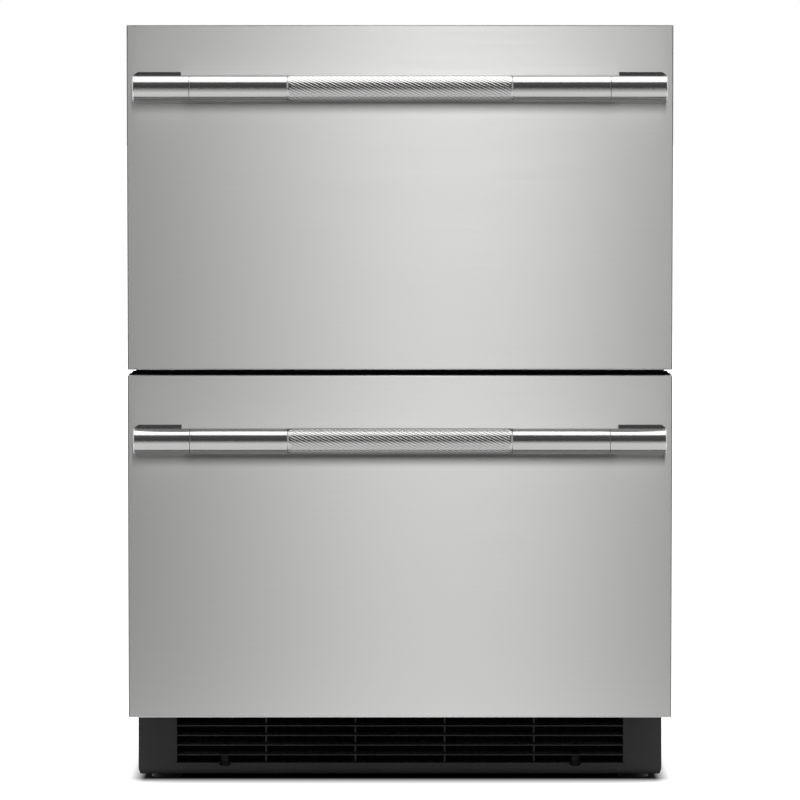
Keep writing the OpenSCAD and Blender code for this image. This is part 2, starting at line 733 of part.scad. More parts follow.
module led_lamp() color(white) along_x(-110, 220) translate([cab_y + 92, mouth_z1]) difference() {
    circle(9);
    translate([-20, 0]) square(40);
}

bracket_x = 190;
bracket_hole = 2.5;

module counter_brackets() color(zinc) both_sides() difference() {
    block(bracket_x - 22, bracket_x + 22, cab_y - seal_d + 1, cab_y + 40, cab_z, cab_z + 1.5);
    for (i = [-1, 1]) translate([bracket_x + 13 * i, cab_y - 5, cab_z - 1]) cylinder(h = 4, r = bracket_hole);
}

// ---------- drawer slides ----------

// Both of a pair of strips, their section drawn as distance from the liner's wall and height from the slide's middle
module strip(s, y0, l) both_sides() along_y(y0, l) translate([mouth_x, s]) mirror([1, 0]) children();

module channel(u0, u1, v, t) {
    translate([u0, -v]) square([t, 2 * v]);
    for (k = [-1, 1]) translate([u0, k * (v - t / 2) - t / 2]) square([u1 - u0, t]);
}

module slide_outer(s) color(zinc) strip(s, slide_y, slide_l) {
    channel(0, slide_t - 3.2, slide_h / 2, strip_t);
    for (k = [-1, 1]) translate([slide_t - 4, k * (slide_h / 2 - strip_t - 0.35) - 0.45]) square([0.8, 0.9]);
}

module slide_middle(s) color(zinc) strip(s, slide_y, slide_l)
    channel(mid_u, slide_t - 1.5, mid_v, strip_t);

module slide_inner(s) color(zinc) strip(s, slide_y, slide_l) mirror([1, 0]) translate([-slide_t, 0])
    channel(0, slide_t - inner_u, inner_v, strip_t);

module ball_cage(s, u0, u, v, ue) color(steel) {
    strip(s, cage_y, cage_l) {
        translate([u0, -v - cage_t / 2]) square([cage_t, 2 * v + cage_t]);
        for (k = [-1, 1]) translate([u0, k * v - cage_t / 2]) square([ue - u0, cage_t]);
    }
    both_sides() for (i = [0 : ball_n - 1], k = [-1, 1])
        translate([mouth_x - u, cage_y + cage_l * (i + 0.5) / ball_n, s + k * v]) sphere(d = ball_d);
}

module ball_cage_outer(s) ball_cage(s, cage1_u, ball1_u, ball1_v, slide_t - 3.7);
module ball_cage_inner(s) ball_cage(s, cage2_u, ball2_u, ball2_v, slide_t - 1.7);

// Steel sides that tie the slides' inner members to the front and carry the bin
module side_carriers(s) color(zinc) {
    strip(s, dike_y, slide_y + slide_l - dike_y - 6) {
        translate([slide_t, -slide_h / 2 - 1.5]) square([carrier_t, lip_z + slide_h / 2 + 1.5]);
        translate([slide_t, lip_z - carrier_t]) square([carrier_t + lip_w, carrier_t]);
    }
    strip(s, dike_y, carrier_t)
        translate([slide_t, -slide_h / 2 - 1.5]) square([34, lip_z + slide_h / 2 + 1.5]);
}

// ---------- bins ----------

// The room of a bin grown by i: narrow between the slides, wide above the carriers' lips
module bin_room(m0, s, z1, step, i) {
    z0 = m0 + bin_floor_gap + bin_t - i;
    zs = s + lip_z + bin_t - i;
    l = (step ? hump_y - bin_floor_gap - bin_y : bin_l) - 2 * bin_t + 2 * i;
    translate([0, bin_y + bin_t - i + l / 2, z0]) linear_extrude(zs - z0 + 1)
        rrect(2 * bin_low_x - 2 * bin_t + 2 * i, l, bin_r - bin_t + i);
    if (step) translate([0, bin_y + bin_l / 2, hump_z + bin_floor_gap + bin_t - i])
        linear_extrude(zs - hump_z - bin_floor_gap - bin_t + i + 1)
        rrect(2 * bin_low_x - 2 * bin_t + 2 * i, bin_l - 2 * bin_t + 2 * i, bin_r - bin_t + i);
    translate([0, bin_y + bin_l / 2, zs]) linear_extrude(z1 - zs)
        rrect(2 * bin_up_x - 2 * bin_t + 2 * i, bin_l - 2 * bin_t + 2 * i, bin_r - bin_t + i);
}

module bin(m0, s, z1, step) color(white) difference() {
    union() {
        bin_room(m0, s, z1, step, bin_t);
        translate([0, bin_y + bin_l / 2, z1 - 4]) linear_extrude(4)
            rrect(2 * bin_up_x + 3, bin_l, bin_r);
    }
    bin_room(m0, s, z1 + 1, step, 0);
}

// ---------- drawer fronts ----------

// Front corner rounding: a bar from the face to y1, half width w, in a profile's own two axes
module bent(a0, a1, y1, i, flip) {
    r = edge_r - i;
    y0 = face_y + i;
    for (q = [[a0 + i, y0 + r, a1 - i, y1], [a0 + i + r, y0, a1 - i - r, y1]])
        if (flip) translate([q[1], q[0]]) square([q[3] - q[1], q[2] - q[0]]);
        else translate([q[0], q[1]]) square([q[2] - q[0], q[3] - q[1]]);
    for (a = [a0 + i + r, a1 - i - r]) if (flip) translate([y0 + r, a]) circle(r);
        else translate([a, y0 + r]) circle(r);
}

// A front's solid with its four face edges bent, shrunk by i
module front_form(z0, i, y1) intersection() {
    translate([0, 0, z0 + i]) linear_extrude(front_h - 2 * i) bent(-front_w / 2, front_w / 2, y1, i, false);
    along_x(-front_w / 2 + i, front_w - 2 * i) bent(z0, z0 + front_h, y1, i, true);
}

function handle_z(z0) = z0 + front_h - handle_drop;
bolt_x = [handle_l / 2 - post_w * 0.76, handle_l / 2 - post_w * 0.24];
skin_y = back_y - panel_t;

module bolt_holes(z0, r, y0, y1) both_sides() for (x = bolt_x)
    translate([x, y0, handle_z(z0)]) rotate([-90, 0, 0]) cylinder(h = y1 - y0, r = r);

module front_skin(z0) color(steel) difference() {
    union() {
        difference() {
            front_form(z0, 0, skin_y);
            front_form(z0, skin_t, skin_y + 1);
            for (z = [z0 - 1, z0 + front_h - edge_r - 1]) block(-front_w / 2 + skin_t, front_w / 2 - skin_t,
                face_y + hem_d, skin_y + 1, z, z + edge_r + 2);
        }
        both_sides() block(front_w / 2 - 11, front_w / 2 - skin_t / 2, skin_y - skin_t, skin_y,
            z0 + cap_t, z0 + front_h - cap_t);
    }
    bolt_holes(z0, bolt_r + 0.2, face_y - 1, face_y + skin_t + 1);
}

module end_caps(z0) color(black) for (z = [z0, z0 + front_h - cap_t]) difference() {
    block(-front_w / 2 + skin_t, front_w / 2 - skin_t, face_y + hem_d, skin_y, z, z + cap_t);
    for (y = [face_y + 14, face_y + 30]) block(-front_w / 2 + 12, front_w / 2 - 12, y, y + 3,
        z == z0 ? z - 1 : z + cap_t - 0.8, z == z0 ? z + 0.8 : z + cap_t + 1);
}

// The raised middle of the inner panel, shrunk by i
module dike(m0, m1, i, y0, y1) along_y(y0, y1 - y0) translate([0, (m0 + m1) / 2])
    rrect(mouth_w - 2 * dike_gap - 2 * i, m1 - m0 - 2 * dike_gap - 2 * i, mouth_r - i);

module front_insulation(z0, m0, m1) color(foam) difference() {
    union() {
        intersection() {
            front_form(z0, skin_t, skin_y);
            block(-front_w, front_w, face_y, skin_y, z0 + cap_t, z0 + front_h - cap_t);
        }
        dike(m0, m1, panel_t, skin_y - 1, dike_y - panel_t);
    }
    both_sides() block(front_w / 2 - 11, front_w, skin_y - skin_t, skin_y, z0, z0 + front_h);
    bolt_holes(z0, 5.2, face_y, face_y + skin_t + 3.4);
}

// A ring round a mouth, from its edge out to its edge out
module seal_ring(m0, m1, e0, e1) translate([0, (m0 + m1) / 2]) difference() {
    rrect(mouth_w + 2 * e1, m1 - m0 + 2 * e1, mouth_r + e1);
    rrect(mouth_w + 2 * e0, m1 - m0 + 2 * e0, mouth_r + e0);
}

tongue_d = panel_t * 0.55;
tongue_in = 3;

module inner_panel(z0, m0, m1) color(white) difference() {
    union() {
        along_y(skin_y, panel_t) translate([0, z0 + front_h / 2]) rrect(front_w - 2 * skin_t, front_h - 2 * skin_t, 4);
        dike(m0, m1, 0, skin_y, dike_y);
    }
    dike(m0, m1, panel_t, skin_y - 1, dike_y - panel_t);
    along_y(back_y - tongue_d - 0.1, 2) seal_ring(m0, m1, gasket_edge + tongue_in, gasket_edge + gasket_w - tongue_in);
}

module gasket(m0, m1) color(charcoal) {
    e0 = gasket_edge;
    e1 = gasket_edge + gasket_w;
    along_y(back_y - tongue_d, tongue_d + 1) seal_ring(m0, m1, e0 + tongue_in + 0.1, e1 - tongue_in - 0.1);
    along_y(back_y, 2.4) seal_ring(m0, m1, e0, e1);
    along_y(back_y + 2, 4.4) seal_ring(m0, m1, e0 + tongue_in, e1 - tongue_in);
    along_y(back_y + 6, seal_d - seal_gap - 6) seal_ring(m0, m1, e0, e1);
}

// ---------- handles ----------

module handle_posts(z0) color(steel) both_sides() difference() {
    zh = handle_z(z0);
    r = handle_d / 2;
    union() {
        translate([0, handle_y, zh]) rod_x(handle_l / 2 - end_l, end_l, r, 1.5);
        intersection() {
            along_x(handle_l / 2 - post_w, post_w) polygon([
                [handle_y, zh - r * 0.8], [face_y, zh - r * 0.8], [face_y, zh + r + post_rise - 5.5],
                [handle_y + 9, zh + r + post_rise], [handle_y + 2, zh + r + post_rise], [handle_y, zh]]);
            along_y(handle_y - r, handle_reach + r) polygon([
                [0, zh - r - 1], [handle_l / 2, zh - r - 1], [handle_l / 2, zh + r + post_rise - 4],
                [handle_l / 2 - post_cut, zh + r + post_rise], [0, zh + r + post_rise]]);
        }
    }
    translate([handle_l / 2 - end_l - 1, handle_y, zh]) rotate([0, 90, 0])
        cylinder(h = spigot_l + 1.4, r = spigot_r + run_fit);
    for (x = bolt_x) translate([x, face_y - bolt_grip - 0.4, zh]) rotate([-90, 0, 0])
        cylinder(h = bolt_grip + 2, r = bolt_r + 0.1);
}

module handle_bar(z0) color(steel) both_sides() translate([0, handle_y, handle_z(z0)]) rotate([0, 90, 0]) {
    translate([0, 0, grip_l / 2]) cylinder(h = handle_l / 2 - end_l - grip_l / 2, r = handle_d / 2);
    translate([0, 0, grip_l / 2 - spigot_l]) cylinder(h = handle_l / 2 - end_l - grip_l / 2 + 2 * spigot_l, r = spigot_r);
}

// Twisted ridges round the grip; their grooves descend to the right
module handle_grip(z0) color(steel) translate([0, handle_y, handle_z(z0)]) rotate([0, 90, 0]) difference() {
    translate([0, 0, -grip_l / 2]) {
        linear_extrude(grip_l, twist = -360 * grip_l / knurl_lead, slices = ceil(grip_l / 6))
            polygon([for (i = [0 : 2 * knurl_n - 1]) (handle_d / 2 - (i % 2) * knurl_d)
                * [cos(180 * i / knurl_n), sin(180 * i / knurl_n)]]);
    }
    for (k = [0, 1]) rotate([0, 180 * k, 0]) translate([0, 0, grip_l / 2 - spigot_l - 0.4])
        cylinder(h = spigot_l + 1, r = spigot_r + run_fit);
}

module handle_bolts(z0) color(zinc) {
    bolt_holes(z0, bolt_r, face_y - bolt_grip, face_y + skin_t + 1);
    bolt_holes(z0, 4.5, face_y + skin_t, face_y + skin_t + 3);
}

// ---------- the nodes ----------

outer_shell();
rear_panel();
cabinet_insulation();
inner_liner();
divider_rail();
belly_panel();
base_pan();
toe_grille();
toe_grille_screws();
compressor();
compressor_grommets();
condenser();
condenser_fan_frame();
condenser_fan_blade();
drain_pan();
refrigerant_tubes();
cord_gland();
evaporator();
evaporator_cover();
evaporator_fan_motor();
evaporator_fan_blade();
control_panel();
led_lamp();
counter_brackets();
leg(-leg_px, leg_fy);  // front_left_leg
leg(leg_px, leg_fy);  // front_right_leg
leg(-leg_px, leg_ry);  // rear_left_leg
leg(leg_px, leg_ry);  // rear_right_leg
slide_outer(upper_s);  // upper_slide_outer
slide_middle(upper_s);  // upper_slide_middle
slide_inner(upper_s);  // upper_slide_inner
ball_cage_outer(upper_s);  // upper_ball_cage_outer
ball_cage_inner(upper_s);  // upper_ball_cage_inner
side_carriers(upper_s);  // upper_side_carriers
bin(upper_m0, upper_s, upper_m1 - upper_bin_gap, false);  // upper_bin
front_skin(upper_z);  // upper_front_skin
end_caps(upper_z);  // upper_end_caps
front_insulation(upper_z, upper_m0, upper_m1);  // upper_front_insulation
inner_panel(upper_z, upper_m0, upper_m1);  // upper_inner_panel
gasket(upper_m0, upper_m1);  // upper_gasket
handle_bar(upper_z);  // upper_handle_bar
handle_grip(upper_z);  // upper_handle_grip
handle_posts(upper_z);  // upper_handle_posts
handle_bolts(upper_z);  // upper_handle_bolts
slide_outer(lower_s);  // lower_slide_outer
slide_middle(lower_s);  // lower_slide_middle
slide_inner(lower_s);  // lower_slide_inner
ball_cage_outer(lower_s);  // lower_ball_cage_outer
ball_cage_inner(lower_s);  // lower_ball_cage_inner
side_carriers(lower_s);  // lower_side_carriers
bin(lower_m0, lower_s, lower_m1 - lower_bin_gap, true);  // lower_bin
front_skin(lower_z);  // lower_front_skin
end_caps(lower_z);  // lower_end_caps
front_insulation(lower_z, lower_m0, lower_m1);  // lower_front_insulation
inner_panel(lower_z, lower_m0, lower_m1);  // lower_inner_panel
gasket(lower_m0, lower_m1);  // lower_gasket
handle_bar(lower_z);  // lower_handle_bar
handle_grip(lower_z);  // lower_handle_grip
handle_posts(lower_z);  // lower_handle_posts
handle_bolts(lower_z);  // lower_handle_bolts
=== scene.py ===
# %% [markdown]
# # An undercounter drawer refrigerator
#
# The fridge is a steel cabinet with two drawers. The imported model gives every solid at its real size and place, in
# metres. This lesson gives each solid its finish, and builds what is finer than the solids: the folded sheet of the
# fronts, the knurl and the seams of the handles, the bellows of the gaskets, rounded edges, screws and a near-black
# screen of painted shade behind the grille.
# The first cell loads the fixed frame.

# %% The frame
import math

import bmesh
import bpy
from mathutils import Matrix, Vector
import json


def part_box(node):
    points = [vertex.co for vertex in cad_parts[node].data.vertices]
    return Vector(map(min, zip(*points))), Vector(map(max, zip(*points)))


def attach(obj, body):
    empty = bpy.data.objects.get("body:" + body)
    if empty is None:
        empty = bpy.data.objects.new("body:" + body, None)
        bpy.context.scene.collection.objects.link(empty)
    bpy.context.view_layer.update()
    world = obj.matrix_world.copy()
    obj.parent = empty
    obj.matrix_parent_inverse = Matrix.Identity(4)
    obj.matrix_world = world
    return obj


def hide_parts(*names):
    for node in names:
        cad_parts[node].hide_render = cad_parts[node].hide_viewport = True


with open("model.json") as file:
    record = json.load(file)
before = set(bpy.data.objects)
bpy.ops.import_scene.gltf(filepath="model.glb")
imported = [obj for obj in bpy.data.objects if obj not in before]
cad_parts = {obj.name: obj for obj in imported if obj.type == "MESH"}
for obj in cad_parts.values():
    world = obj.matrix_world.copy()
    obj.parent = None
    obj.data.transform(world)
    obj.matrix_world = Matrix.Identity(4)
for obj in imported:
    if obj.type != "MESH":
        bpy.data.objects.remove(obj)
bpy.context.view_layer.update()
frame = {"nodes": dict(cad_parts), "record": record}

# %% [markdown]
# ## The camera
#
# A long lens far away keeps the drawer fronts square, as in a catalogue picture. The height, distance and lens come
# from fitting the corners of the fronts, handles and grille to the frame of the photograph. The camera stands on the
# middle line of the fridge and looks slightly down at its middle.

# %% Camera
FACE_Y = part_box("upper_front_skin")[0].y
CAMERA_AWAY, CAMERA_Z, CAMERA_TILT = 6.0, 0.7922, 3.379
LENS_MM, SENSOR_MM, FARTHEST = 243.2, 36, 200
camera = bpy.data.objects.new("camera", bpy.data.cameras.new("camera"))
bpy.context.scene.collection.objects.link(camera)
camera.location = (0, FACE_Y - CAMERA_AWAY, CAMERA_Z)
camera.rotation_euler = (math.radians(90 - CAMERA_TILT), 0, 0)
camera.data.lens, camera.data.sensor_width = LENS_MM, SENSOR_MM
camera.data.clip_end = FARTHEST
bpy.context.scene.camera = camera
print("camera", tuple(round(v, 3) for v in camera.location))

# %% [markdown]
# ## Writing materials as sums
#
# A material is a graph of nodes. Written as code, a graph is long and hard to read, so this small class wraps one
# socket and lets ordinary arithmetic make the Math nodes: `0.3 + 0.1 * grain` is two nodes and two links. Everything
# that isn't arithmetic, such as a noise or a Mix node, comes from the one method `add`.

# %% Wire
class Wire:
    def __init__(self, socket):
        self.socket = socket

    def add(self, kind, settings=None, out=0, **sockets):
        """A new node: first its settings, then its inputs by name, or by number as _0, _1 and so on."""
        nodes = self.socket.id_data.nodes
        node = nodes.new("ShaderNode" + kind)
        for name, value in (settings or {}).items():
            setattr(node, name, value)
        for name, value in sockets.items():
            key = int(name[1:]) if name[0] == "_" else name
            if isinstance(value, Wire):
                self.socket.id_data.links.new(value.socket, node.inputs[key])
            else:
                node.inputs[key].default_value = value
        return Wire(node.outputs[out])

    def others(self, *names):
        """The named outputs of the node that this wire comes from."""
        return [Wire(self.socket.node.outputs[name]) for name in names]

    def math(self, operation, other=0.0, swap=False):
        first, second = (other, self) if swap else (self, other)
        return self.add("Math", {"operation": operation}, _0=first, _1=second)

    def __add__(self, other): return self.math("ADD", other)
    def __radd__(self, other): return self.math("ADD", other, swap=True)
    def __sub__(self, other): return self.math("SUBTRACT", other)
    def __rsub__(self, other): return self.math("SUBTRACT", other, swap=True)
    def __mul__(self, other): return self.math("MULTIPLY", other)
    def __rmul__(self, other): return self.math("MULTIPLY", other, swap=True)
    def __truediv__(self, other): return self.math("DIVIDE", other)
    def __gt__(self, other): return self.math("GREATER_THAN", other)
    def __abs__(self): return self.math("ABSOLUTE")

    def xyz(self):
        """The three parts of a vector."""
        return self.add("SeparateXYZ", Vector=self).others("X", "Y", "Z")

    def stretched(self, x, y, z):
        return self.add("Mapping", Vector=self, Scale=(x, y, z))

    def noise(self, scale, detail=3.0, rough=0.5):
        return self.add("TexNoise", Vector=self, Scale=scale, Detail=detail, Roughness=rough)

    def cells(self, scale, out="Distance"):
        return self.add("TexVoronoi", out=out, Vector=self, Scale=scale)

    def between(self, low, high):
        """This value, from low to high, as 0 to 1."""
        return self.add("MapRange", _0=self, _1=low, _2=high)

    def mix(self, dark, light):
        """The colour dark where this value is 0, and light where it is 1."""
        dark = dark if isinstance(dark, Wire) else (*dark, 1)
        light = light if isinstance(light, Wire) else (*light, 1)
        return self.add("Mix", {"data_type": "RGBA"}, out=2, _0=self, _6=dark, _7=light)

    def bump(self, height, strength=1.0):
        """Relief: height is in metres for a value of 1."""
        return self.add("Bump", Height=self, Distance=height, Strength=strength)


print("Wire is ready")

# %% [markdown]
# ## One way to start a finish
#
# Every finish begins with Blender's Principled shader. Numbers that hold all over the surface go straight on its
# sockets. What varies is plugged in afterwards: `place` is the point on the object in metres, so a pattern has the
# same size on every piece.

# %% Starting a finish
finishes = {}


def finish(name, colour, **constants):
    """Starts a material: returns its shader, and the place on the object that its patterns read."""
    material = finishes[name] = bpy.data.materials.new(name)
    material.use_nodes = True
    shader = material.node_tree.nodes["Principled BSDF"]
    shader.inputs["Base Color"].default_value = (*colour, 1)
    for socket, value in constants.items():
        shader.inputs[socket.replace("_", " ")].default_value = value
    return shader, Wire(material.node_tree.nodes.new("ShaderNodeTexCoord").outputs["Object"])


def plug(shader, socket, wire):
    shader.id_data.links.new(wire.socket, shader.inputs[socket])


print("finish() is ready")

# %% [markdown]
# ## Brushed stainless fronts
#
# The fronts are brushed from side to side. Each scratch is a tiny groove along x, so light spreads up and down far
# more than sideways, and a lamp becomes a tall soft streak. The shader's anisotropy does the spreading, turned by a
# quarter because the brush runs along the tangent. Long thin noise gives the single scratches. The folds next to
# the gaps and at the bottom get a painted highlight, a near-white colour in place of a bright reflection, and the
# side folds get a painted dark line in place of a dark reflection.

# %% Front steel
BEND, SHEET, SOFT = 0.0013, 0.001, 0.0001
# Painted highlight for the folds by the gaps and the bottom, painted shade for the side folds.
PAINTED_FOLD_HIGHLIGHT, PAINTED_SIDE_SHADE = (0.93, 0.93, 0.925), (0.20, 0.20, 0.198)
shader, place = finish("front_steel", (0.60, 0.60, 0.595), Metallic=1.0, Roughness=0.375,
                       Anisotropic=0.94, Anisotropic_Rotation=0.25)
grain = place.stretched(6, 6, 1500).noise(1.0, 4.0, 0.6)
fine = place.stretched(25, 25, 5200).noise(1.0, 2.0, 0.6)
brushed = (0.6 * grain + 0.4 * fine).mix((0.56, 0.56, 0.555), (0.64, 0.64, 0.635))
x, _, z = place.xyz()
low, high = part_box("lower_front_skin")
side_shade_mask = abs(x).between(high.x - SHEET - SOFT, high.x - SHEET + SOFT)
below, above, gap = [abs(z - edge) for edge in (low.z, high.z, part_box("upper_front_skin")[0].z)]
fold_highlight_mask = below.math("MINIMUM", above).math("MINIMUM", gap).between(BEND, SHEET - SOFT)
# Base colour: brushed grain, a painted highlight on those folds and a painted dark line on the side folds.
plug(shader, "Base Color", side_shade_mask.mix(fold_highlight_mask.mix(brushed, PAINTED_FOLD_HIGHLIGHT), PAINTED_SIDE_SHADE))
plug(shader, "Roughness", 0.347 + 0.055 * grain)
plug(shader, "Normal", (grain + fine).bump(0.000004, 0.35))
print("front_steel")

# %% [markdown]
# ## Drawn steel of the handles
#
# The handle tubes are smoother: they show the lamp overhead, the dark studio and the pale floor as clean bands. A
# faint lengthwise grain breaks the bands' edges a little.

# %% Handle steel
shader, place = finish("handle_steel", (0.62, 0.62, 0.615), Metallic=1.0, Roughness=0.16)
along = place.stretched(12, 900, 900).noise(1.0, 3.0, 0.55)
plug(shader, "Base Color", along.mix((0.60, 0.60, 0.595), (0.66, 0.66, 0.655)))
plug(shader, "Roughness", 0.13 + 0.07 * along)
plug(shader, "Normal", along.bump(0.000003, 0.3))
print("handle_steel")

# %% [markdown]
# ## Painted and plated sheet
#
# The cabinet is powder coated: paint that was sprayed as a dry powder and melted has a soft orange-peel relief. The
# slides, brackets and legs are zinc plated, with pale and dark patches a few millimetres wide. The two round
# recesses of the toe grille get painted shade: the grille's paint gets a mask that is 1 inside them, and is near
# black there.

# %% Paint and zinc
def powder(name, dark, light, rough, peel, shade_mask=None):
    """Powder coat. Where a mask made from the place is given, the paint is near black inside it: painted shade."""
    shader, place = finish(name, dark, Roughness=rough, IOR=1.5)
    waves, specks = place.noise(420, 3.0), place.noise(2600, 2.0)
    cloud = place.noise(9, 3.0)
    colour = (0.5 * cloud + 0.5 * specks).between(0.3, 0.7).mix(dark, light)
    # Near black inside the mask: painted shade in the grille's screw recesses.
    plug(shader, "Base Color", shade_mask(place).mix(colour, (0.003, 0.003, 0.003)) if shade_mask else colour)
    plug(shader, "Roughness", (rough - 0.06) + 0.12 * cloud + 0.05 * specks)
    plug(shader, "Normal", (waves + 0.35 * specks).bump(peel, 0.6))


def plated(name, dark, light, rough):
    """Bare or plated metal with patches and a faint rolling streak."""
    shader, place = finish(name, dark, Metallic=1.0, Roughness=rough)
    patches = place.cells(260, "Color")
    patch = patches.add("SeparateColor", Color=patches)
    streak = place.stretched(60, 4, 900).noise(1.0, 3.0)
    plug(shader, "Base Color", (0.6 * patch + 0.4 * streak).mix(dark, light))
    plug(shader, "Roughness", (rough - 0.08) + 0.12 * patch + 0.08 * streak)
    plug(shader, "Normal", streak.bump(0.000012, 0.5))


HEAD_RADIUS, RECESS_RADIUS, RECESS_START = 0.0034, 0.0078, 0.0032


def recess_shade_mask(place):
    """1 inside the two round recesses round the toe grille's screws, and 0 elsewhere: where painted shade goes."""
    low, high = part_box("toe_grille_screws")
    x, y, z = place.xyz()
    aside, above = abs(x) - (high.x - HEAD_RADIUS), z - (low.z + high.z) / 2
    inside = RECESS_RADIUS ** 2 - (aside * aside + above * above) > 0
    return inside * (y - (low.y - RECESS_START) > 0)


BLACK = (0.042, 0.042, 0.0435), (0.056, 0.056, 0.058)
powder("cabinet_paint", (0.036, 0.038, 0.041), (0.046, 0.048, 0.052), 0.42, 0.00003)
powder("black_paint", *BLACK, 0.42, 0.00004)
# Near-black paint, partly painted shade, for the grille's screws and the base pan behind it.
powder("dark_paint_and_shade", (0.007, 0.007, 0.0075), (0.011, 0.011, 0.0115), 0.55, 0.00004)
# The grille's paint, with painted shade in its two screw recesses.
powder("grille_paint", *BLACK, 0.42, 0.00004, recess_shade_mask)
plated("zinc_steel", (0.50, 0.52, 0.54), (0.66, 0.68, 0.70), 0.34)
plated("cage_steel", (0.55, 0.56, 0.57), (0.72, 0.73, 0.74), 0.26)
print("powder coats and zinc")

# %% [markdown]
# ## Fins and copper
#
# The evaporator's fins are bare aluminium, and the condenser is dipped in thin black paint. Copper tube darkens in
# patches where it was heated for brazing.

# %% Fins and copper
plated("fin_metal", (0.62, 0.63, 0.64), (0.78, 0.79, 0.80), 0.38)
powder("black_fins", (0.014, 0.014, 0.015), (0.03, 0.03, 0.031), 0.55, 0.00002)
shader, place = finish("copper_tube", (0.72, 0.36, 0.20), Metallic=1.0, Roughness=0.3)
heat = place.noise(38, 4.0, 0.6).between(0.42, 0.68)
plug(shader, "Base Color", heat.mix((0.74, 0.38, 0.22), (0.30, 0.15, 0.10)))
plug(shader, "Roughness", 0.24 + 0.3 * heat)
plug(shader, "Normal", place.noise(900, 2.0).bump(0.00001, 0.5))
print("fins and copper")

# %% [markdown]
# ## Plastics, rubber and foam
#
# The liner and bins are glossy moulded plastic with a very slight waviness. The caps and the fan parts are spark
# eroded in the mould, which leaves a fine dull grain. The screen behind the grille and the black trims between the
# drawers are nearly black and swallow nearly all light: painted shade for the dark behind the grille and in the
# gap. Rubber is a little brighter, and foam shows its open cells.

# %% Plastics
def moulded(name, colour, shade, rough, scale, relief, **more):
    """A moulded or woven surface: scale is the fineness of its grain, and relief its depth in metres."""
    shader, place = finish(name, colour, Roughness=rough, IOR=1.49, **more)
    pits, cloud = place.noise(scale, 4.0, 0.6), place.noise(7, 2.0)
    plug(shader, "Base Color", (0.35 * pits + 0.65 * cloud).between(0.3, 0.7).mix(shade, colour))
    plug(shader, "Roughness", (rough - 0.05) + 0.1 * pits)
    plug(shader, "Normal", pits.bump(relief, 0.6))


moulded("liner_plastic", (0.80, 0.81, 0.81), (0.765, 0.775, 0.78), 0.24, 90, 0.00008, Coat_Weight=0.2)
moulded("bin_plastic", (0.74, 0.75, 0.76), (0.70, 0.71, 0.725), 0.22, 110, 0.00006, Coat_Weight=0.3)
moulded("black_plastic", (0.012, 0.012, 0.013), (0.008, 0.008, 0.009), 0.5, 1900, 0.00005)
moulded("white_plastic", (0.72, 0.73, 0.73), (0.68, 0.69, 0.695), 0.42, 1500, 0.00004)
moulded("lamp_lens", (0.86, 0.87, 0.84), (0.80, 0.81, 0.79), 0.2, 2400, 0.00006, Transmission_Weight=0.25)
moulded("cap_plastic", (0.011, 0.011, 0.012), (0.008, 0.008, 0.009), 0.8, 1900, 0.00005, Specular_IOR_Level=0.12)
# Near-black cloth: painted shade behind the grille and in the gap between the drawers.
moulded("painted_shade_black", (0.004, 0.004, 0.004), (0.002, 0.002, 0.002), 0.9, 1900, 0.00005, Specular_IOR_Level=0.1)
moulded("seal_rubber", (0.030, 0.030, 0.031), (0.021, 0.021, 0.022), 0.62, 1300, 0.00005, Sheen_Weight=0.15)
moulded("dark_glass", (0.006, 0.006, 0.008), (0.004, 0.004, 0.005), 0.12, 40, 0.00001, Coat_Weight=0.6)
shader, place = finish("foam", (0.74, 0.64, 0.40), Roughness=0.95)
holes = place.cells(700)
plug(shader, "Base Color", holes.between(0.1, 0.7).mix((0.50, 0.42, 0.25), (0.80, 0.70, 0.46)))
plug(shader, "Normal", holes.bump(0.0004, 0.8))
print("plastics, rubber, foam")

# %% [markdown]
# ## Each solid gets its finish
#
# The record names one finish for every solid, and this loop hands them out. Three solids near the floor then get a
# darker one of their own: the toe grille's paint has painted shade in its screw recesses, and its screws and the
# base pan get a near-black paint that is partly their black and partly painted shade. Their slot, which says what
# they are made of, stays the record's.

# %% Handing out finishes
for row in frame["record"]["subparts"]:
    mesh = frame["nodes"][row["node"]].data
    mesh.materials.clear()
    mesh.materials.append(finishes[row["material_slot"]])
# The grille, its screws and the base pan get finishes that hold painted shade.
for name, own in {"toe_grille": "grille_paint", "toe_grille_screws": "dark_paint_and_shade", "base_pan": "dark_paint_and_shade"}.items():
    frame["nodes"][name].data.materials[0] = finishes[own]

# %% [markdown]
# ## From a bmesh to a piece
#
# Every new shape is made in a bmesh, at its real place. One helper turns it into an object that rides on its body
# and stands for the solids it replaces. Two more add a box from corner to corner and read a solid's corners.

# %% Pieces
LEVELS = ("upper", "lower")


def box_corners(name):
    low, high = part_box(name)
    return low.x, high.x, low.y, high.y, low.z, high.z


def slab(form, x0, x1, y0, y1, z0, z1, bend=0.0, steps=2):
    """Adds a box from corner to corner, its edges rounded by bend."""
    made = bmesh.ops.create_cube(form, size=1)["verts"]
    for v in made:
        v.co = Vector(((x0 + x1) / 2 + v.co.x * (x1 - x0), (y0 + y1) / 2 + v.co.y * (y1 - y0),
                       (z0 + z1) / 2 + v.co.z * (z1 - z0)))
    if bend:
        edges = list({edge for v in made for edge in v.link_edges})
        bmesh.ops.bevel(form, geom=edges, offset=bend, segments=steps, profile=0.5, affect="EDGES", material=-1)


def piece_from(name, body, slot, form, nodes=(), smooth=True, flat=(), own=None):
    """Makes the object of a bmesh: its body, its slot, the solids it stands for, and its own finish if it has one."""
    for face in form.faces:
        face.smooth = smooth and face not in flat
    piece = bpy.data.objects.new(name, bpy.data.meshes.new(name))
    form.to_mesh(piece.data)
    form.free()
    bpy.context.scene.collection.objects.link(piece)
    piece.data.materials.append(finishes[own or slot])
    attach(piece, body)
    if nodes:
        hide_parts(*nodes)
    print(name, len(piece.data.polygons), "faces")
    return piece


print("piece_from() is ready")

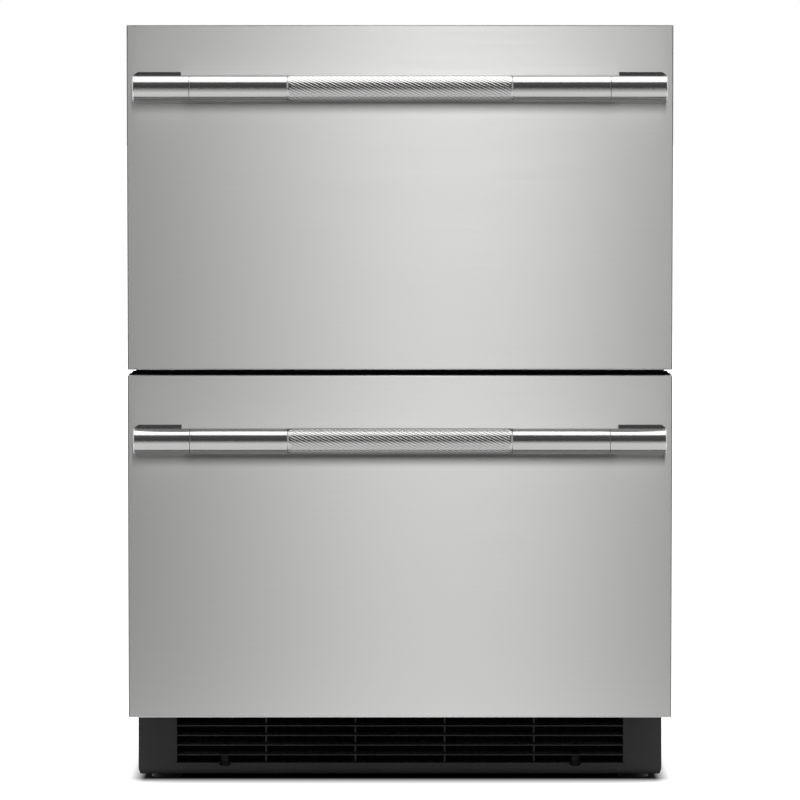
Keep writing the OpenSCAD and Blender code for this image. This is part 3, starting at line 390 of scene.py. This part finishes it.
# %% [markdown]
# ## The drawer fronts
#
# A front is one sheet, a millimetre thick. Its sides are bent back over the whole depth and end in a narrow flange,
# while its top and bottom are bent back only a few millimetres, where the black end caps begin. It could be laid out
# flat and folded, but a box with its superfluous faces cut away gets there sooner. A bevel then rounds the bends, and
# the sheet gets its thickness last.

# %% Steel fronts
HEM, FLANGE = 0.0035, 0.010


def cut_away(form, chosen, cuts, keep):
    """Cuts the faces that are chosen by their normal along planes, and deletes the parts that aren't kept."""
    faces = [face for face in form.faces if chosen(face.normal)]
    geom = {item for face in faces for item in (face, *face.edges, *face.verts)}
    for spot, normal in cuts:
        made = bmesh.ops.bisect_plane(form, geom=list(geom), plane_co=spot, plane_no=normal)
        geom |= set(made["geom"]) | set(made["geom_cut"])
    parts = [face for face in form.faces if chosen(face.normal)]
    bmesh.ops.delete(form, geom=[face for face in parts if not keep(face.calc_center_median())], context="FACES")


for level in LEVELS:
    x0, x1, y0, y1, z0, z1 = box_corners(level + "_front_skin")
    form = bmesh.new()
    slab(form, x0, x1, y0, y1, z0, z1)
    form.normal_update()
    cut_away(form, lambda normal: abs(normal.z) > 0.9, [((0, y0 + HEM, 0), (0, 1, 0))],
             lambda middle: middle.y < y0 + HEM)
    cut_away(form, lambda normal: normal.y > 0.9, [((x, 0, 0), (1, 0, 0)) for x in (x0 + FLANGE, x1 - FLANGE)],
             lambda middle: abs(middle.x) > x1 - FLANGE)
    bmesh.ops.recalc_face_normals(form, faces=form.faces)
    print(level, "front:", len(form.faces), "faces")
    bends = [edge for edge in form.edges if len(edge.link_faces) == 2]
    bmesh.ops.bevel(form, geom=bends, offset=BEND, segments=5, profile=0.5, affect="EDGES", material=-1,
                    offset_type="OFFSET", clamp_overlap=True)
    bmesh.ops.solidify(form, geom=form.faces[:], thickness=SHEET)
    sheet = piece_from(level + "_steel_front", level + "_drawer", "front_steel", form, [level + "_front_skin"])
    sheet.modifiers.new("shade", "WEIGHTED_NORMAL").keep_sharp = True

# %% [markdown]
# ## The knurled sleeves
#
# Both hands grip a sleeve with 24 twisted ridges, each going once round in 156 mm. A spin can't make a twist, so a
# ring of points is made at every place along the sleeve, and each ring is turned a little further than the last. Most
# of a ridge is a smooth land, and between two lands the radius dips in a narrow rounded groove, so the points stand
# close together there. Near the sleeve's ends the groove runs out into a small chamfer.

# %% Rules of a ring
STARTS, LEAD, GROOVE, LAND, STEPS = 24, 0.1557, 0.00028, 0.54, 10
CHAMFER, RUN_OUT = 0.0008, 0.0014


def plain(radius):
    """The rule of a round ring: for each part of a turn its radius, and the part itself."""
    return lambda part: (radius, part)


def ridged(x, half, radius, less=0.0):
    """The rule of the ring at x: every start is a land and then a groove, and all are turned by x."""
    fade = min(1.0, (half - abs(x) - CHAMFER) / RUN_OUT)

    def rule(part):
        start, step = divmod(round(part * STARTS * STEPS), STEPS)
        across = max(0, step - 1) / (STEPS - 1)
        turn = (start + (LAND + (1 - LAND) * across if step else 0)) / STARTS
        return radius - less - GROOVE * fade * (0.5 - 0.5 * math.cos(math.tau * across)), turn + x / LEAD
    return rule


print(STARTS, "ridges,", STARTS * STEPS, "points round a ring")

# %% Knurled sleeves
CHAMFER_DEEP, PLACES, BORE, BORE_DEEP, BORE_END = 0.0006, 104, 0.00805, 0.0204, 0.0005


def sleeve_from(rings, centre, around):
    """A closed shell round x, and its two end faces. A ring is a place along x and a rule."""
    form, rows = bmesh.new(), []
    for x, rule in rings:
        points = [rule(k / around) for k in range(around)]
        rows.append([form.verts.new(centre + Vector((x, radius * math.cos(math.tau * turn),
                                                     radius * math.sin(math.tau * turn)))) for radius, turn in points])
    for low, high in zip(rows, rows[1:]):
        for k in range(around):
            n = (k + 1) % around
            form.faces.new((low[k], low[n], high[n], high[k]))
    ends = [form.faces.new(rows[0][::-1]), form.faces.new(rows[-1])]
    bmesh.ops.recalc_face_normals(form, faces=form.faces)
    return form, ends


for level in LEVELS:
    low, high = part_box(level + "_handle_grip")
    centre, half, radius = (low + high) / 2, (high.x - low.x) / 2, (high.z - low.z) / 2
    inside = [(half - BORE_DEEP, plain(BORE_END)), (half - BORE_DEEP, plain(BORE)), (half, plain(BORE))]
    places = [(2 * k / PLACES - 1) * (half - CHAMFER) for k in range(PLACES + 1)]
    rings = [(-x, rule) for x, rule in inside] + [(-half, ridged(places[0], half, radius, CHAMFER_DEEP))]
    rings += [(x, ridged(x, half, radius)) for x in places]
    rings += [(half, ridged(places[-1], half, radius, CHAMFER_DEEP))] + inside[::-1]
    form, ends = sleeve_from(rings, centre, STARTS * STEPS)
    piece_from(level + "_knurled_sleeve", level + "_drawer", "handle_steel", form, [level + "_handle_grip"], flat=ends)

# %% [markdown]
# ## The plain tube lengths
#
# The tubes are turned on a lathe, and a spin does the same: a line of points along x, each at its radius, goes once
# round the axis, and the two open ends are filled. A fine chamfer meets the grip, a narrow groove shows as a dark line
# at the end piece, and a thinner spigot reaches into each neighbouring part.

# %% Tubes
SPIGOT, SPIGOT_LONG, POST_LONG = 0.008, 0.020, 0.062
CUT, SEAM, SEAM_DEEP, EDGE = 0.0003, 0.0007, 0.0009, 0.0002
for level in LEVELS:
    low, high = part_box(level + "_handle_bar")
    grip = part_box(level + "_handle_grip")[1].x
    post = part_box(level + "_handle_posts")[1].x - POST_LONG
    radius, middle = (high.z - low.z) / 2, (low + high) / 2
    outline = ((grip - SPIGOT_LONG, SPIGOT), (grip, SPIGOT), (grip, radius - CUT), (grip + CUT, radius),
               (grip + 2 * CUT, radius), (post - SEAM - EDGE, radius), (post - SEAM, radius),
               (post - SEAM, radius - SEAM_DEEP), (post, radius - SEAM_DEEP), (post, SPIGOT),
               (post + SPIGOT_LONG, SPIGOT))
    for side, sign in (("left", -1), ("right", 1)):
        form = bmesh.new()
        line = [form.verts.new((sign * x, middle.y + r, middle.z)) for x, r in outline]
        edges = [form.edges.new(pair) for pair in zip(line, line[1:])]
        bmesh.ops.spin(form, geom=line + edges, cent=(0, middle.y, middle.z), axis=(1, 0, 0), angle=math.tau, steps=96,
                       use_merge=True)
        ends = bmesh.ops.holes_fill(form, edges=form.edges, sides=0)["faces"]
        bmesh.ops.recalc_face_normals(form, faces=form.faces)
        piece_from(f"{level}_{side}_tube", level + "_drawer", "handle_steel", form, [level + "_handle_bar"], flat=ends)

# %% [markdown]
# ## The dark screen
#
# Behind the toe grille stands a pleated near-black screen, a dark sheet that stands for the shade behind the grille:
# painted shade. A zigzag line of points is drawn from side to side, pulled up into a pleated sheet, and held by a
# thin frame on the base pan.

# %% Dark screen
PAN_TOP, SCREEN_TOP, SCREEN_HALF, SCREEN_BACK, SCREEN_DEEP = 0.014, 0.0860, 0.2580, 0.0156, 0.0050
PLEATS, PLEAT_IN, SCREEN_FRAME, FRAME_OVER, CLOTH = 104, 0.0007, 0.003, 0.002, 0.0003
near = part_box("toe_grille")[0].y + SCREEN_BACK
far, foot = near + SCREEN_DEEP, PAN_TOP + 0.0001
form = bmesh.new()
line = [form.verts.new(((2 * k / PLEATS - 1) * SCREEN_HALF, near + PLEAT_IN if k % 2 else far - PLEAT_IN,
                        PAN_TOP + FRAME_OVER)) for k in range(PLEATS + 1)]
raised = bmesh.ops.extrude_edge_only(form, edges=[form.edges.new(pair) for pair in zip(line, line[1:])])["geom"]
bmesh.ops.translate(form, verts=[item for item in raised if isinstance(item, bmesh.types.BMVert)],
                    vec=(0, 0, SCREEN_TOP - PAN_TOP - 2 * FRAME_OVER))
bmesh.ops.solidify(form, geom=form.faces[:], thickness=CLOTH)
outer = SCREEN_HALF + SCREEN_FRAME
for z0, z1 in ((foot, PAN_TOP + SCREEN_FRAME), (SCREEN_TOP - SCREEN_FRAME, SCREEN_TOP)):
    slab(form, -outer, outer, near, far, z0, z1, 0.0005)
for x0, x1 in ((-outer, -SCREEN_HALF), (SCREEN_HALF, outer)):
    slab(form, x0, x1, near, far, foot, SCREEN_TOP, 0.0005)
# A near-black pleated screen: painted shade behind the grille.
piece_from("painted_shade_screen", "cabinet", "black_plastic", form, smooth=False, own="painted_shade_black")

# %% [markdown]
# ## The gaskets
#
# A drawer seals with a magnetic gasket: a flange that is pressed into the inner panel, a soft bellows of two folds,
# and a flat bulb that holds the magnet strip. Each point of its outline becomes one rounded rectangle, and faces join
# each rectangle to the next, until the last meets the first. They are joined point by point, because bridging loops
# of this shape twisted the faces.

# %% Gaskets
SEAL_WIDE, SEAL_DEEP, SEAL_CORNER, MM = 10, 11.6, 0.026, 0.001
HALF_SEAL = ((0.0, 0.0), (0.0, 1.0), (0.7, 1.5), (1.9, 1.9), (2.2, 2.5), (1.0, 3.2), (0.7, 3.7), (1.0, 4.2), (2.2, 4.9),
             (2.3, 5.4), (1.0, 6.0), (0.2, 6.7), (0.0, 7.6), (0.0, 10.4), (0.3, 11.2), (1.1, 11.5), (3.6, SEAL_DEEP))


def rounded_loop(form, half, z0, z1, y, radius, steps=8):
    """The points of a rounded rectangle that stands upright across x."""
    corners = ((half - radius, z1 - radius), (radius - half, z1 - radius), (radius - half, z0 + radius),
               (half - radius, z0 + radius))
    turns = [(x, z, math.radians(90 * (i + k / steps))) for i, (x, z) in enumerate(corners) for k in range(steps + 1)]
    return [form.verts.new((x + radius * math.cos(turn), y, z + radius * math.sin(turn))) for x, z, turn in turns]


for level in LEVELS:
    x0, x1, y0, y1, z0, z1 = box_corners(level + "_gasket")
    form, loops = bmesh.new(), []
    for inset, back in (*HALF_SEAL, *[(SEAL_WIDE - inset, back) for inset, back in HALF_SEAL[::-1]]):
        d, y = inset * MM, y1 - (SEAL_DEEP - back) * MM
        loops.append(rounded_loop(form, x1 - d, z0 + d, z1 - d, y, SEAL_CORNER - d))
    for one, two in zip(loops, loops[1:] + loops[:1]):
        for a, b, c, d in zip(one, one[1:] + one[:1], two[1:] + two[:1], two):
            form.faces.new((a, b, c, d))
    bmesh.ops.recalc_face_normals(form, faces=form.faces)
    piece_from(level + "_bellows_gasket", level + "_drawer", "seal_rubber", form, [level + "_gasket"])

# %% [markdown]
# ## The dark gap between the drawers
#
# Between the fronts the gap shows nothing but black. A near-black strip covers the steel between the two openings,
# and the lower drawer's cap ends in a low lip behind the front, with slanted ends: both are dark pieces put where
# there is only shade, as painted shade. Both are boxes, and the lip's upper points are drawn inwards.

# %% Strip and lip
STRIP_OVER, STRIP_THICK, STRIP_CLEAR = 0.0005, 0.0015, 0.001
LIP_UP, LIP_THICK, LIP_BACK, LIP_SLANT, LIP_IN, LIP_ROOT = 0.0046, 0.003, 0.009, 0.0037, 0.0022, 0.0005
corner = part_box("outer_shell")[0]
below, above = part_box("lower_gasket")[1].z + STRIP_CLEAR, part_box("upper_gasket")[0].z - STRIP_CLEAR
form = bmesh.new()
slab(form, corner.x + STRIP_OVER, -corner.x - STRIP_OVER, corner.y - STRIP_THICK, corner.y, below, above, 0.0005)
# A near-black strip: painted shade in the gap between the fronts.
piece_from("mullion_strip", "cabinet", "black_plastic", form, smooth=False, own="painted_shade_black")

cap_top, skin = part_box("lower_end_caps")[1].z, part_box("lower_front_skin")[0]
half, near = -skin.x - LIP_IN, skin.y + LIP_BACK
form = bmesh.new()
slab(form, -half, half, near, near + LIP_THICK, cap_top - LIP_ROOT, cap_top + LIP_UP, 0.0003)
for vert in form.verts:
    vert.co.x *= 1 - max(0, vert.co.z - cap_top) / LIP_UP * LIP_SLANT / half
# A near-black lip: painted shade at the ends of the gap.
piece_from("lower_cap_lip", "lower_drawer", "black_plastic", form, smooth=False, own="painted_shade_black")

# %% [markdown]
# ## Rounded copies
#
# The solids are exact and sharp, but a folded sheet or a moulded rim is never sharp: a thin rounding catches the
# light. Copies of the largest shapes get their square edges rounded here, and each copy stands for its solid. Edges
# shorter than 6 mm, such as those of the air slots, stay as they are.

# %% Rounded edges
SHORTEST, MERGE = 0.006, 0.00001
FOLD, RIM, THIN_RIM, CAP_RIM = 0.0008, 0.0007, 0.0004, 0.0005


def softened(node, piece, body, slot, bend, own=None):
    """A copy of a solid that has its square edges rounded by bend."""
    source = frame["nodes"][node]
    form = bmesh.new()
    form.from_mesh(source.data)
    form.transform(source.matrix_world)
    bmesh.ops.remove_doubles(form, verts=form.verts, dist=MERGE)
    bmesh.ops.dissolve_limit(form, angle_limit=math.radians(0.5), verts=form.verts, edges=form.edges)
    square = [edge for edge in form.edges if len(edge.link_faces) == 2 and edge.calc_length() > SHORTEST
              and math.radians(60) < edge.calc_face_angle() < math.radians(120)]
    bmesh.ops.bevel(form, geom=square, offset=bend, segments=2, profile=0.5, affect="EDGES", material=-1,
                    clamp_overlap=True)
    bmesh.ops.triangulate(form, faces=[face for face in form.faces if len(face.verts) > 4])
    loose = sum(len(edge.link_faces) != 2 for edge in form.edges)
    print(node, len(square), "edges rounded,", loose, "left open")
    piece_from(piece, body, slot, form, [node], smooth=False, own=own)


softened("outer_shell", "folded_shell", "cabinet", "cabinet_paint", FOLD)
for level in LEVELS:
    softened(level + "_bin", level + "_moulded_bin", level + "_drawer", "bin_plastic", RIM)
softened("inner_liner", "moulded_liner", "cabinet", "liner_plastic", FOLD)
for level in LEVELS:
    softened(level + "_inner_panel", level + "_moulded_panel", level + "_drawer", "liner_plastic", FOLD)
softened("evaporator_cover", "moulded_cover", "cabinet", "liner_plastic", FOLD)
softened("counter_brackets", "folded_brackets", "cabinet", "zinc_steel", THIN_RIM)
for level in LEVELS:
    softened(level + "_end_caps", level + "_moulded_caps", level + "_drawer", "black_plastic", CAP_RIM, "cap_plastic")

# %% [markdown]
# ## Screws and pressed ribs
#
# Hexagon screws hold the rear panel round its edge and the inner panels at their sides, and low round heads hold the
# cabinet's sides. A hexagon screw is a washer, a six sided head and its bevelled top, all of simple cones. Three low
# ribs stiffen the rear panel, as if they were pressed.

# %% Screws
WASHER = (32, 0.0, 0.0046, 0.0042, 0.0007)
HEAD = (6, 0.0006, 0.0034, 0.0034, 0.0016)
HEAD_TOP = (6, 0.0022, 0.0034, 0.0027, 0.0005)


def hex_screw(form, spot, size=1.0):
    """A washer head screw at spot that points to the back."""
    turn = Matrix.Translation(spot) @ Matrix.Rotation(-math.pi / 2, 4, "X")
    for sides, low, wide, top, tall in (WASHER, HEAD, HEAD_TOP):
        bmesh.ops.create_cone(form, cap_ends=True, segments=sides, radius1=wide * size, radius2=top * size,
                              depth=tall * size, matrix=turn @ Matrix.Translation((0, 0, (low + tall / 2) * size)))


def spread(low, high, count):
    """Equal steps from low to high."""
    return [low + (high - low) * k / (count - 1) for k in range(count)]


print("hex_screw() is ready")

# %% Screws and ribs of the rear panel
RIM_X, RIM_Z, RIM_SPOTS, SUNK = 0.010, 0.012, (-0.144, 0.0, 0.144), 0.0001
RIB_HALF, RIB_TALL, RIB_UP, RIB_ROOT, RIB_BEND, RIBS = 0.225, 0.009, 0.0022, 0.0006, 0.00139, (0.36, 0.64)
x0, x1, y0, y1, z0, z1 = box_corners("rear_panel")
form = bmesh.new()
spots = [(side * (x1 - RIM_X), z) for side in (-1, 1) for z in spread(z0 + RIM_Z, z1 - RIM_Z, 5)]
spots += [(x, z) for x in RIM_SPOTS for z in (z0 + RIM_Z, z1 - RIM_Z)]
for x, z in spots:
    hex_screw(form, (x, y1 - SUNK, z))
piece_from("rear_screws", "cabinet", "zinc_steel", form, smooth=False)
form = bmesh.new()
for z in spread(z0 + RIBS[0], z0 + RIBS[1], 3):
    slab(form, -RIB_HALF, RIB_HALF, y1 - RIB_ROOT, y1 + RIB_UP, z - RIB_TALL, z + RIB_TALL, RIB_BEND, steps=4)
piece_from("rear_ribs", "cabinet", "zinc_steel", form)

# %% Screws of the inner panels and the sides
BESIDE_SEAL, FROM_CORNER, SMALL = 0.008, 0.03, 0.8
FROM_BACK, FROM_BOTTOM, ALONG = 0.011, 0.014, (0.07, 0.47)
ROUND_HEAD, ROUND_TOP, ROUND_TALL, ROUND_OUT = 0.0043, 0.0031, 0.0010, 0.0004
for level in LEVELS:
    x0, x1, y0, y1, z0, z1 = box_corners(level + "_gasket")
    form = bmesh.new()
    for x in (x0 - BESIDE_SEAL, x1 + BESIDE_SEAL):
        for z in spread(z0 + FROM_CORNER, z1 - FROM_CORNER, 3):
            hex_screw(form, (x, y1 - SEAL_DEEP * MM - SUNK, z), SMALL)
    piece_from(level + "_panel_screws", level + "_drawer", "zinc_steel", form, smooth=False)

x0, x1, y0, y1, z0, z1 = box_corners("outer_shell")
spots = [(y1 - FROM_BACK, z) for z in spread(z0 + FROM_CORNER, z1 - FROM_CORNER, 5)]
spots += [(y, z0 + FROM_BOTTOM) for y in spread(y0 + ALONG[0], y0 + ALONG[1], 3)]
form = bmesh.new()
for side in (-1, 1):
    for y, z in spots:
        turn = Matrix.Translation((side * (x1 + ROUND_OUT), y, z)) @ Matrix.Rotation(side * math.pi / 2, 4, "Y")
        bmesh.ops.create_cone(form, cap_ends=True, segments=32, radius1=ROUND_HEAD, radius2=ROUND_TOP,
                              depth=ROUND_TALL, matrix=turn)
piece_from("side_screws", "cabinet", "black_paint", form, smooth=False)

# %% [markdown]
# ## The control panel
#
# The sloping face of the control panel gets a strip of dark glass and four soft keys. They are made flat, with their
# fronts along z, and one matrix lays them on the slope.

# %% Control panel
GLASS_HALF, GLASS_TALL, KEYS, KEY_RADIUS, KEY_TOP = 0.042, 0.0055, (-0.060, -0.050, 0.050, 0.060), 0.0034, 0.0029
FACES_OUT, FACE_BACK, FACE_DOWN = (0, -12, -10), 0.005, 0.016
x0, x1, y0, y1, z0, z1 = box_corners("control_panel")
out = Vector(FACES_OUT).normalized()
slope = Matrix.Translation((0, y0 + FACE_BACK, z1 - FACE_DOWN)) @ Matrix(
    ((1, 0, 0, 0), (0, out.z, out.y, 0), (0, -out.y, out.z, 0), (0, 0, 0, 1)))
form = bmesh.new()
slab(form, -GLASS_HALF, GLASS_HALF, -GLASS_TALL, GLASS_TALL, -0.0002, 0.0006, 0.0004)
form.transform(slope)
piece_from("display_glass", "cabinet", "black_plastic", form, smooth=False, own="dark_glass")
form = bmesh.new()
for x in KEYS:
    for low, tall, top in ((-0.0002, 0.0007, KEY_RADIUS), (0.0005, 0.0003, KEY_TOP)):
        bmesh.ops.create_cone(form, cap_ends=True, segments=32, radius1=KEY_RADIUS, radius2=top, depth=tall,
                              matrix=Matrix.Translation((x, 0, low + tall / 2)))
form.transform(slope)
piece_from("touch_keys", "cabinet", "white_plastic", form, smooth=False)

# %% [markdown]
# ## The floor
#
# A pale floor keeps the shadow under the grille. To the camera it is white paper, by Light Path's Is Camera Ray. To
# the steel it is white only near the fridge: about three metres in front the paper ends, and before that a dark wedge
# opens towards the unlit end of the studio. `under` is the shade below the cabinet, where the paper doesn't glow.

# %% Floor
FLOOR_SIZE, PAPER_ENDS = 60, (3.6, 2.9)
WEDGE_HALF, WEDGE_BACK, WEDGE_OPENS, WEDGE_STARTS = 0.3, 0.25, (0.4, 0.65), (0.1, 0.3)
UNDER_SIDE, UNDER_FRONT, UNDER_BACK = (0.314, 0.290), (-0.029, 0.020), (0.36, 0.30)
floor = bpy.data.objects.new("floor", bpy.data.meshes.new("floor"))
bpy.context.scene.collection.objects.link(floor)
form = bmesh.new()
bmesh.ops.create_grid(form, x_segments=1, y_segments=1, size=FLOOR_SIZE)
form.to_mesh(floor.data)
form.free()
shader, place = finish("pale_floor", (0.93, 0.93, 0.93), Roughness=1.0, Specular_IOR_Level=0.0)
x, deep, _ = place.xyz()
across = abs(x)
camera_ray, glossy_ray = place.add("LightPath").others("Is Camera Ray", "Is Glossy Ray")
wedge = 1 - ((across - WEDGE_HALF) / (WEDGE_BACK + FACE_Y - deep)).between(*WEDGE_OPENS)
ahead = (1 - deep.between(FACE_Y - WEDGE_STARTS[0], FACE_Y + WEDGE_STARTS[1])) * wedge
paper = deep.between(FACE_Y - PAPER_ENDS[0], FACE_Y - PAPER_ENDS[1]) * (1 - 0.95 * glossy_ray * ahead)
grille_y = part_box("toe_grille")[0].y
under = across.between(*UNDER_SIDE) * deep.between(*[grille_y + y for y in UNDER_FRONT]) * deep.between(*UNDER_BACK)
cloudy = place.noise(3, 3.0).mix((0.92, 0.92, 0.92), (0.94, 0.94, 0.94))
plug(shader, "Base Color", ((paper + camera_ray).between(0, 1) * (1 - 0.97 * under)).mix((0.03, 0.03, 0.03), cloudy))
shader.inputs["Emission Color"].default_value = (1, 1, 1, 1)
plug(shader, "Emission Strength", camera_ray * (1 - under) * (0.9 + 0.2 * (1 - paper)))
floor.data.materials.append(finishes["pale_floor"])
print("floor")

# %% [markdown]
# ## The room
#
# The world is white to the camera. Metal sees that same white room behind and around the fridge, and the unlit end of
# the studio in front, which draws the dark band on the handles. Dull surfaces get an even soft light from everywhere.

# %% World
DARK_AHEAD, DARK_SIDES, DARK_RISES = (0.05, 0.35), (0.42, 0.66), (-0.02, 0.06)
DARKEST, LESS_ABOVE, SIDES_LIT, SOFT_LIGHT = 0.955, 0.07, 0.85, 0.6
world = bpy.data.worlds.new("studio")
bpy.context.scene.world = world
world.use_nodes = True
sky = world.node_tree.nodes["Background"]
ray = Wire(world.node_tree.nodes.new("ShaderNodeTexCoord").outputs["Generated"])
aside, away, up = ray.xyz()
dark_end = (-1 * away).between(*DARK_AHEAD) * (1 - SIDES_LIT * abs(aside).between(*DARK_SIDES))
room = 1 - dark_end * up.between(*DARK_RISES) * (DARKEST - LESS_ABOVE * up)
seen, glossy = ray.add("LightPath").others("Is Camera Ray", "Is Glossy Ray")
strength = seen + (1 - seen) * (glossy * room + (1 - glossy) * SOFT_LIGHT)
world.node_tree.links.new(strength.socket, sky.inputs["Strength"])
sky.inputs["Color"].default_value = (1, 1, 1, 1)
print("world")

# %% [markdown]
# ## The lamps
#
# The sun stands for a very large soft lamp overhead. Tall cards of light stand seven metres in front: a wide dim one
# to the left, and a narrow bright one that gives the streak on the steel. Each drawer's front has its own pair, as a
# photographer sets them one by one. Lamps that lie on the floor stand for the lit paper under the handles.

# %% Lamp helpers
def lamp(name, kind, power, place, aim, lit=None, **settings):
    """A lamp that the camera doesn't see. Where lit is given, it lights that collection alone."""
    light = bpy.data.objects.new(name, bpy.data.lights.new(name, kind))
    bpy.context.scene.collection.objects.link(light)
    light.data.energy = power
    for key, value in settings.items():
        setattr(light.data, key, value)
    light.location = place
    light.rotation_euler = (Vector(aim) - Vector(place)).to_track_quat("-Z", "Y").to_euler()
    light.visible_camera = False
    light.light_linking.receiver_collection = lit
    return light


def only(*names):
    """A collection of the named solids or pieces."""
    group = bpy.data.collections.new(names[0] + "_group")
    for name in names:
        group.objects.link(frame["nodes"].get(name) or bpy.data.objects[name])
    return group


print("lamp() is ready")

# %% Overhead lamp
SUN_POWER, SUN_WIDTH = 1.12, 58
FRONTS = [level + "_steel_front" for level in LEVELS]
sun_skips = only(*FRONTS)
lamp("overhead", "SUN", SUN_POWER, (0, -0.25, 4), (0, 0, 0), sun_skips, angle=math.radians(SUN_WIDTH))
for entry in sun_skips.collection_objects:
    entry.light_linking.link_state = "EXCLUDE"
print("sun")

# %% Cards in front
CARD_AWAY, SIDE_CARD, STREAK_CARD = 7, (-0.45, 0.5), (0.17, 0.24)
CARDS = {"upper": (9.6, 43.6, 1.92, 1.75), "lower": (10.2, 47.2, 2.12, 1.55)}
for level, (side, streak, high, tall) in CARDS.items():
    lit = only(level + "_steel_front")
    for power, (x, wide) in ((side, SIDE_CARD), (streak, STREAK_CARD)):
        lamp(level + "_card", "AREA", power, (x, FACE_Y - CARD_AWAY, high), (x, 0, high), lit, shape="RECTANGLE",
             size=wide, size_y=tall)
FOOT_POWER, FOOT_OUT, FOOT_Z, FOOT_WIDE, FOOT_LONG = 0.38, 0.06, 0.006, 0.2, 1.0
lamp("foot_card", "AREA", FOOT_POWER, (0, FACE_Y - FOOT_OUT, FOOT_Z), (0, FACE_Y - FOOT_OUT, 1), only(*FRONTS),
     shape="RECTANGLE", size=FOOT_LONG, size_y=FOOT_WIDE)
print("cards")

# %% Lit paper under the handles
PAPER_WIDE, PAPER_Z = 2.4, 0.004
HANDLE = ("_left_tube", "_right_tube", "_handle_posts", "_knurled_sleeve")
handles = {level: [level + part for part in HANDLE] for level in LEVELS}
for name, near, far, bright, lit in (("upper_near_floor", 0.20, 1.5, 0.78, handles["upper"]),
                                     ("lower_near_floor", 0.11, 1.5, 0.76, handles["lower"]),
                                     ("far_floor", 1.5, 5.5, 0.5, handles["upper"] + handles["lower"])):
    middle, depth = FACE_Y - (near + far) / 2, far - near
    lamp(name, "AREA", bright * math.pi * PAPER_WIDE * depth, (0, middle, PAPER_Z), (0, middle, 1), only(*lit),
         shape="RECTANGLE", size=PAPER_WIDE, size_y=depth)
print("paper")

# %% [markdown]
# ## The colour view
#
# The Standard view shows every colour as it is written.

# %% Colour view
bpy.context.scene.view_settings.view_transform = "Standard"
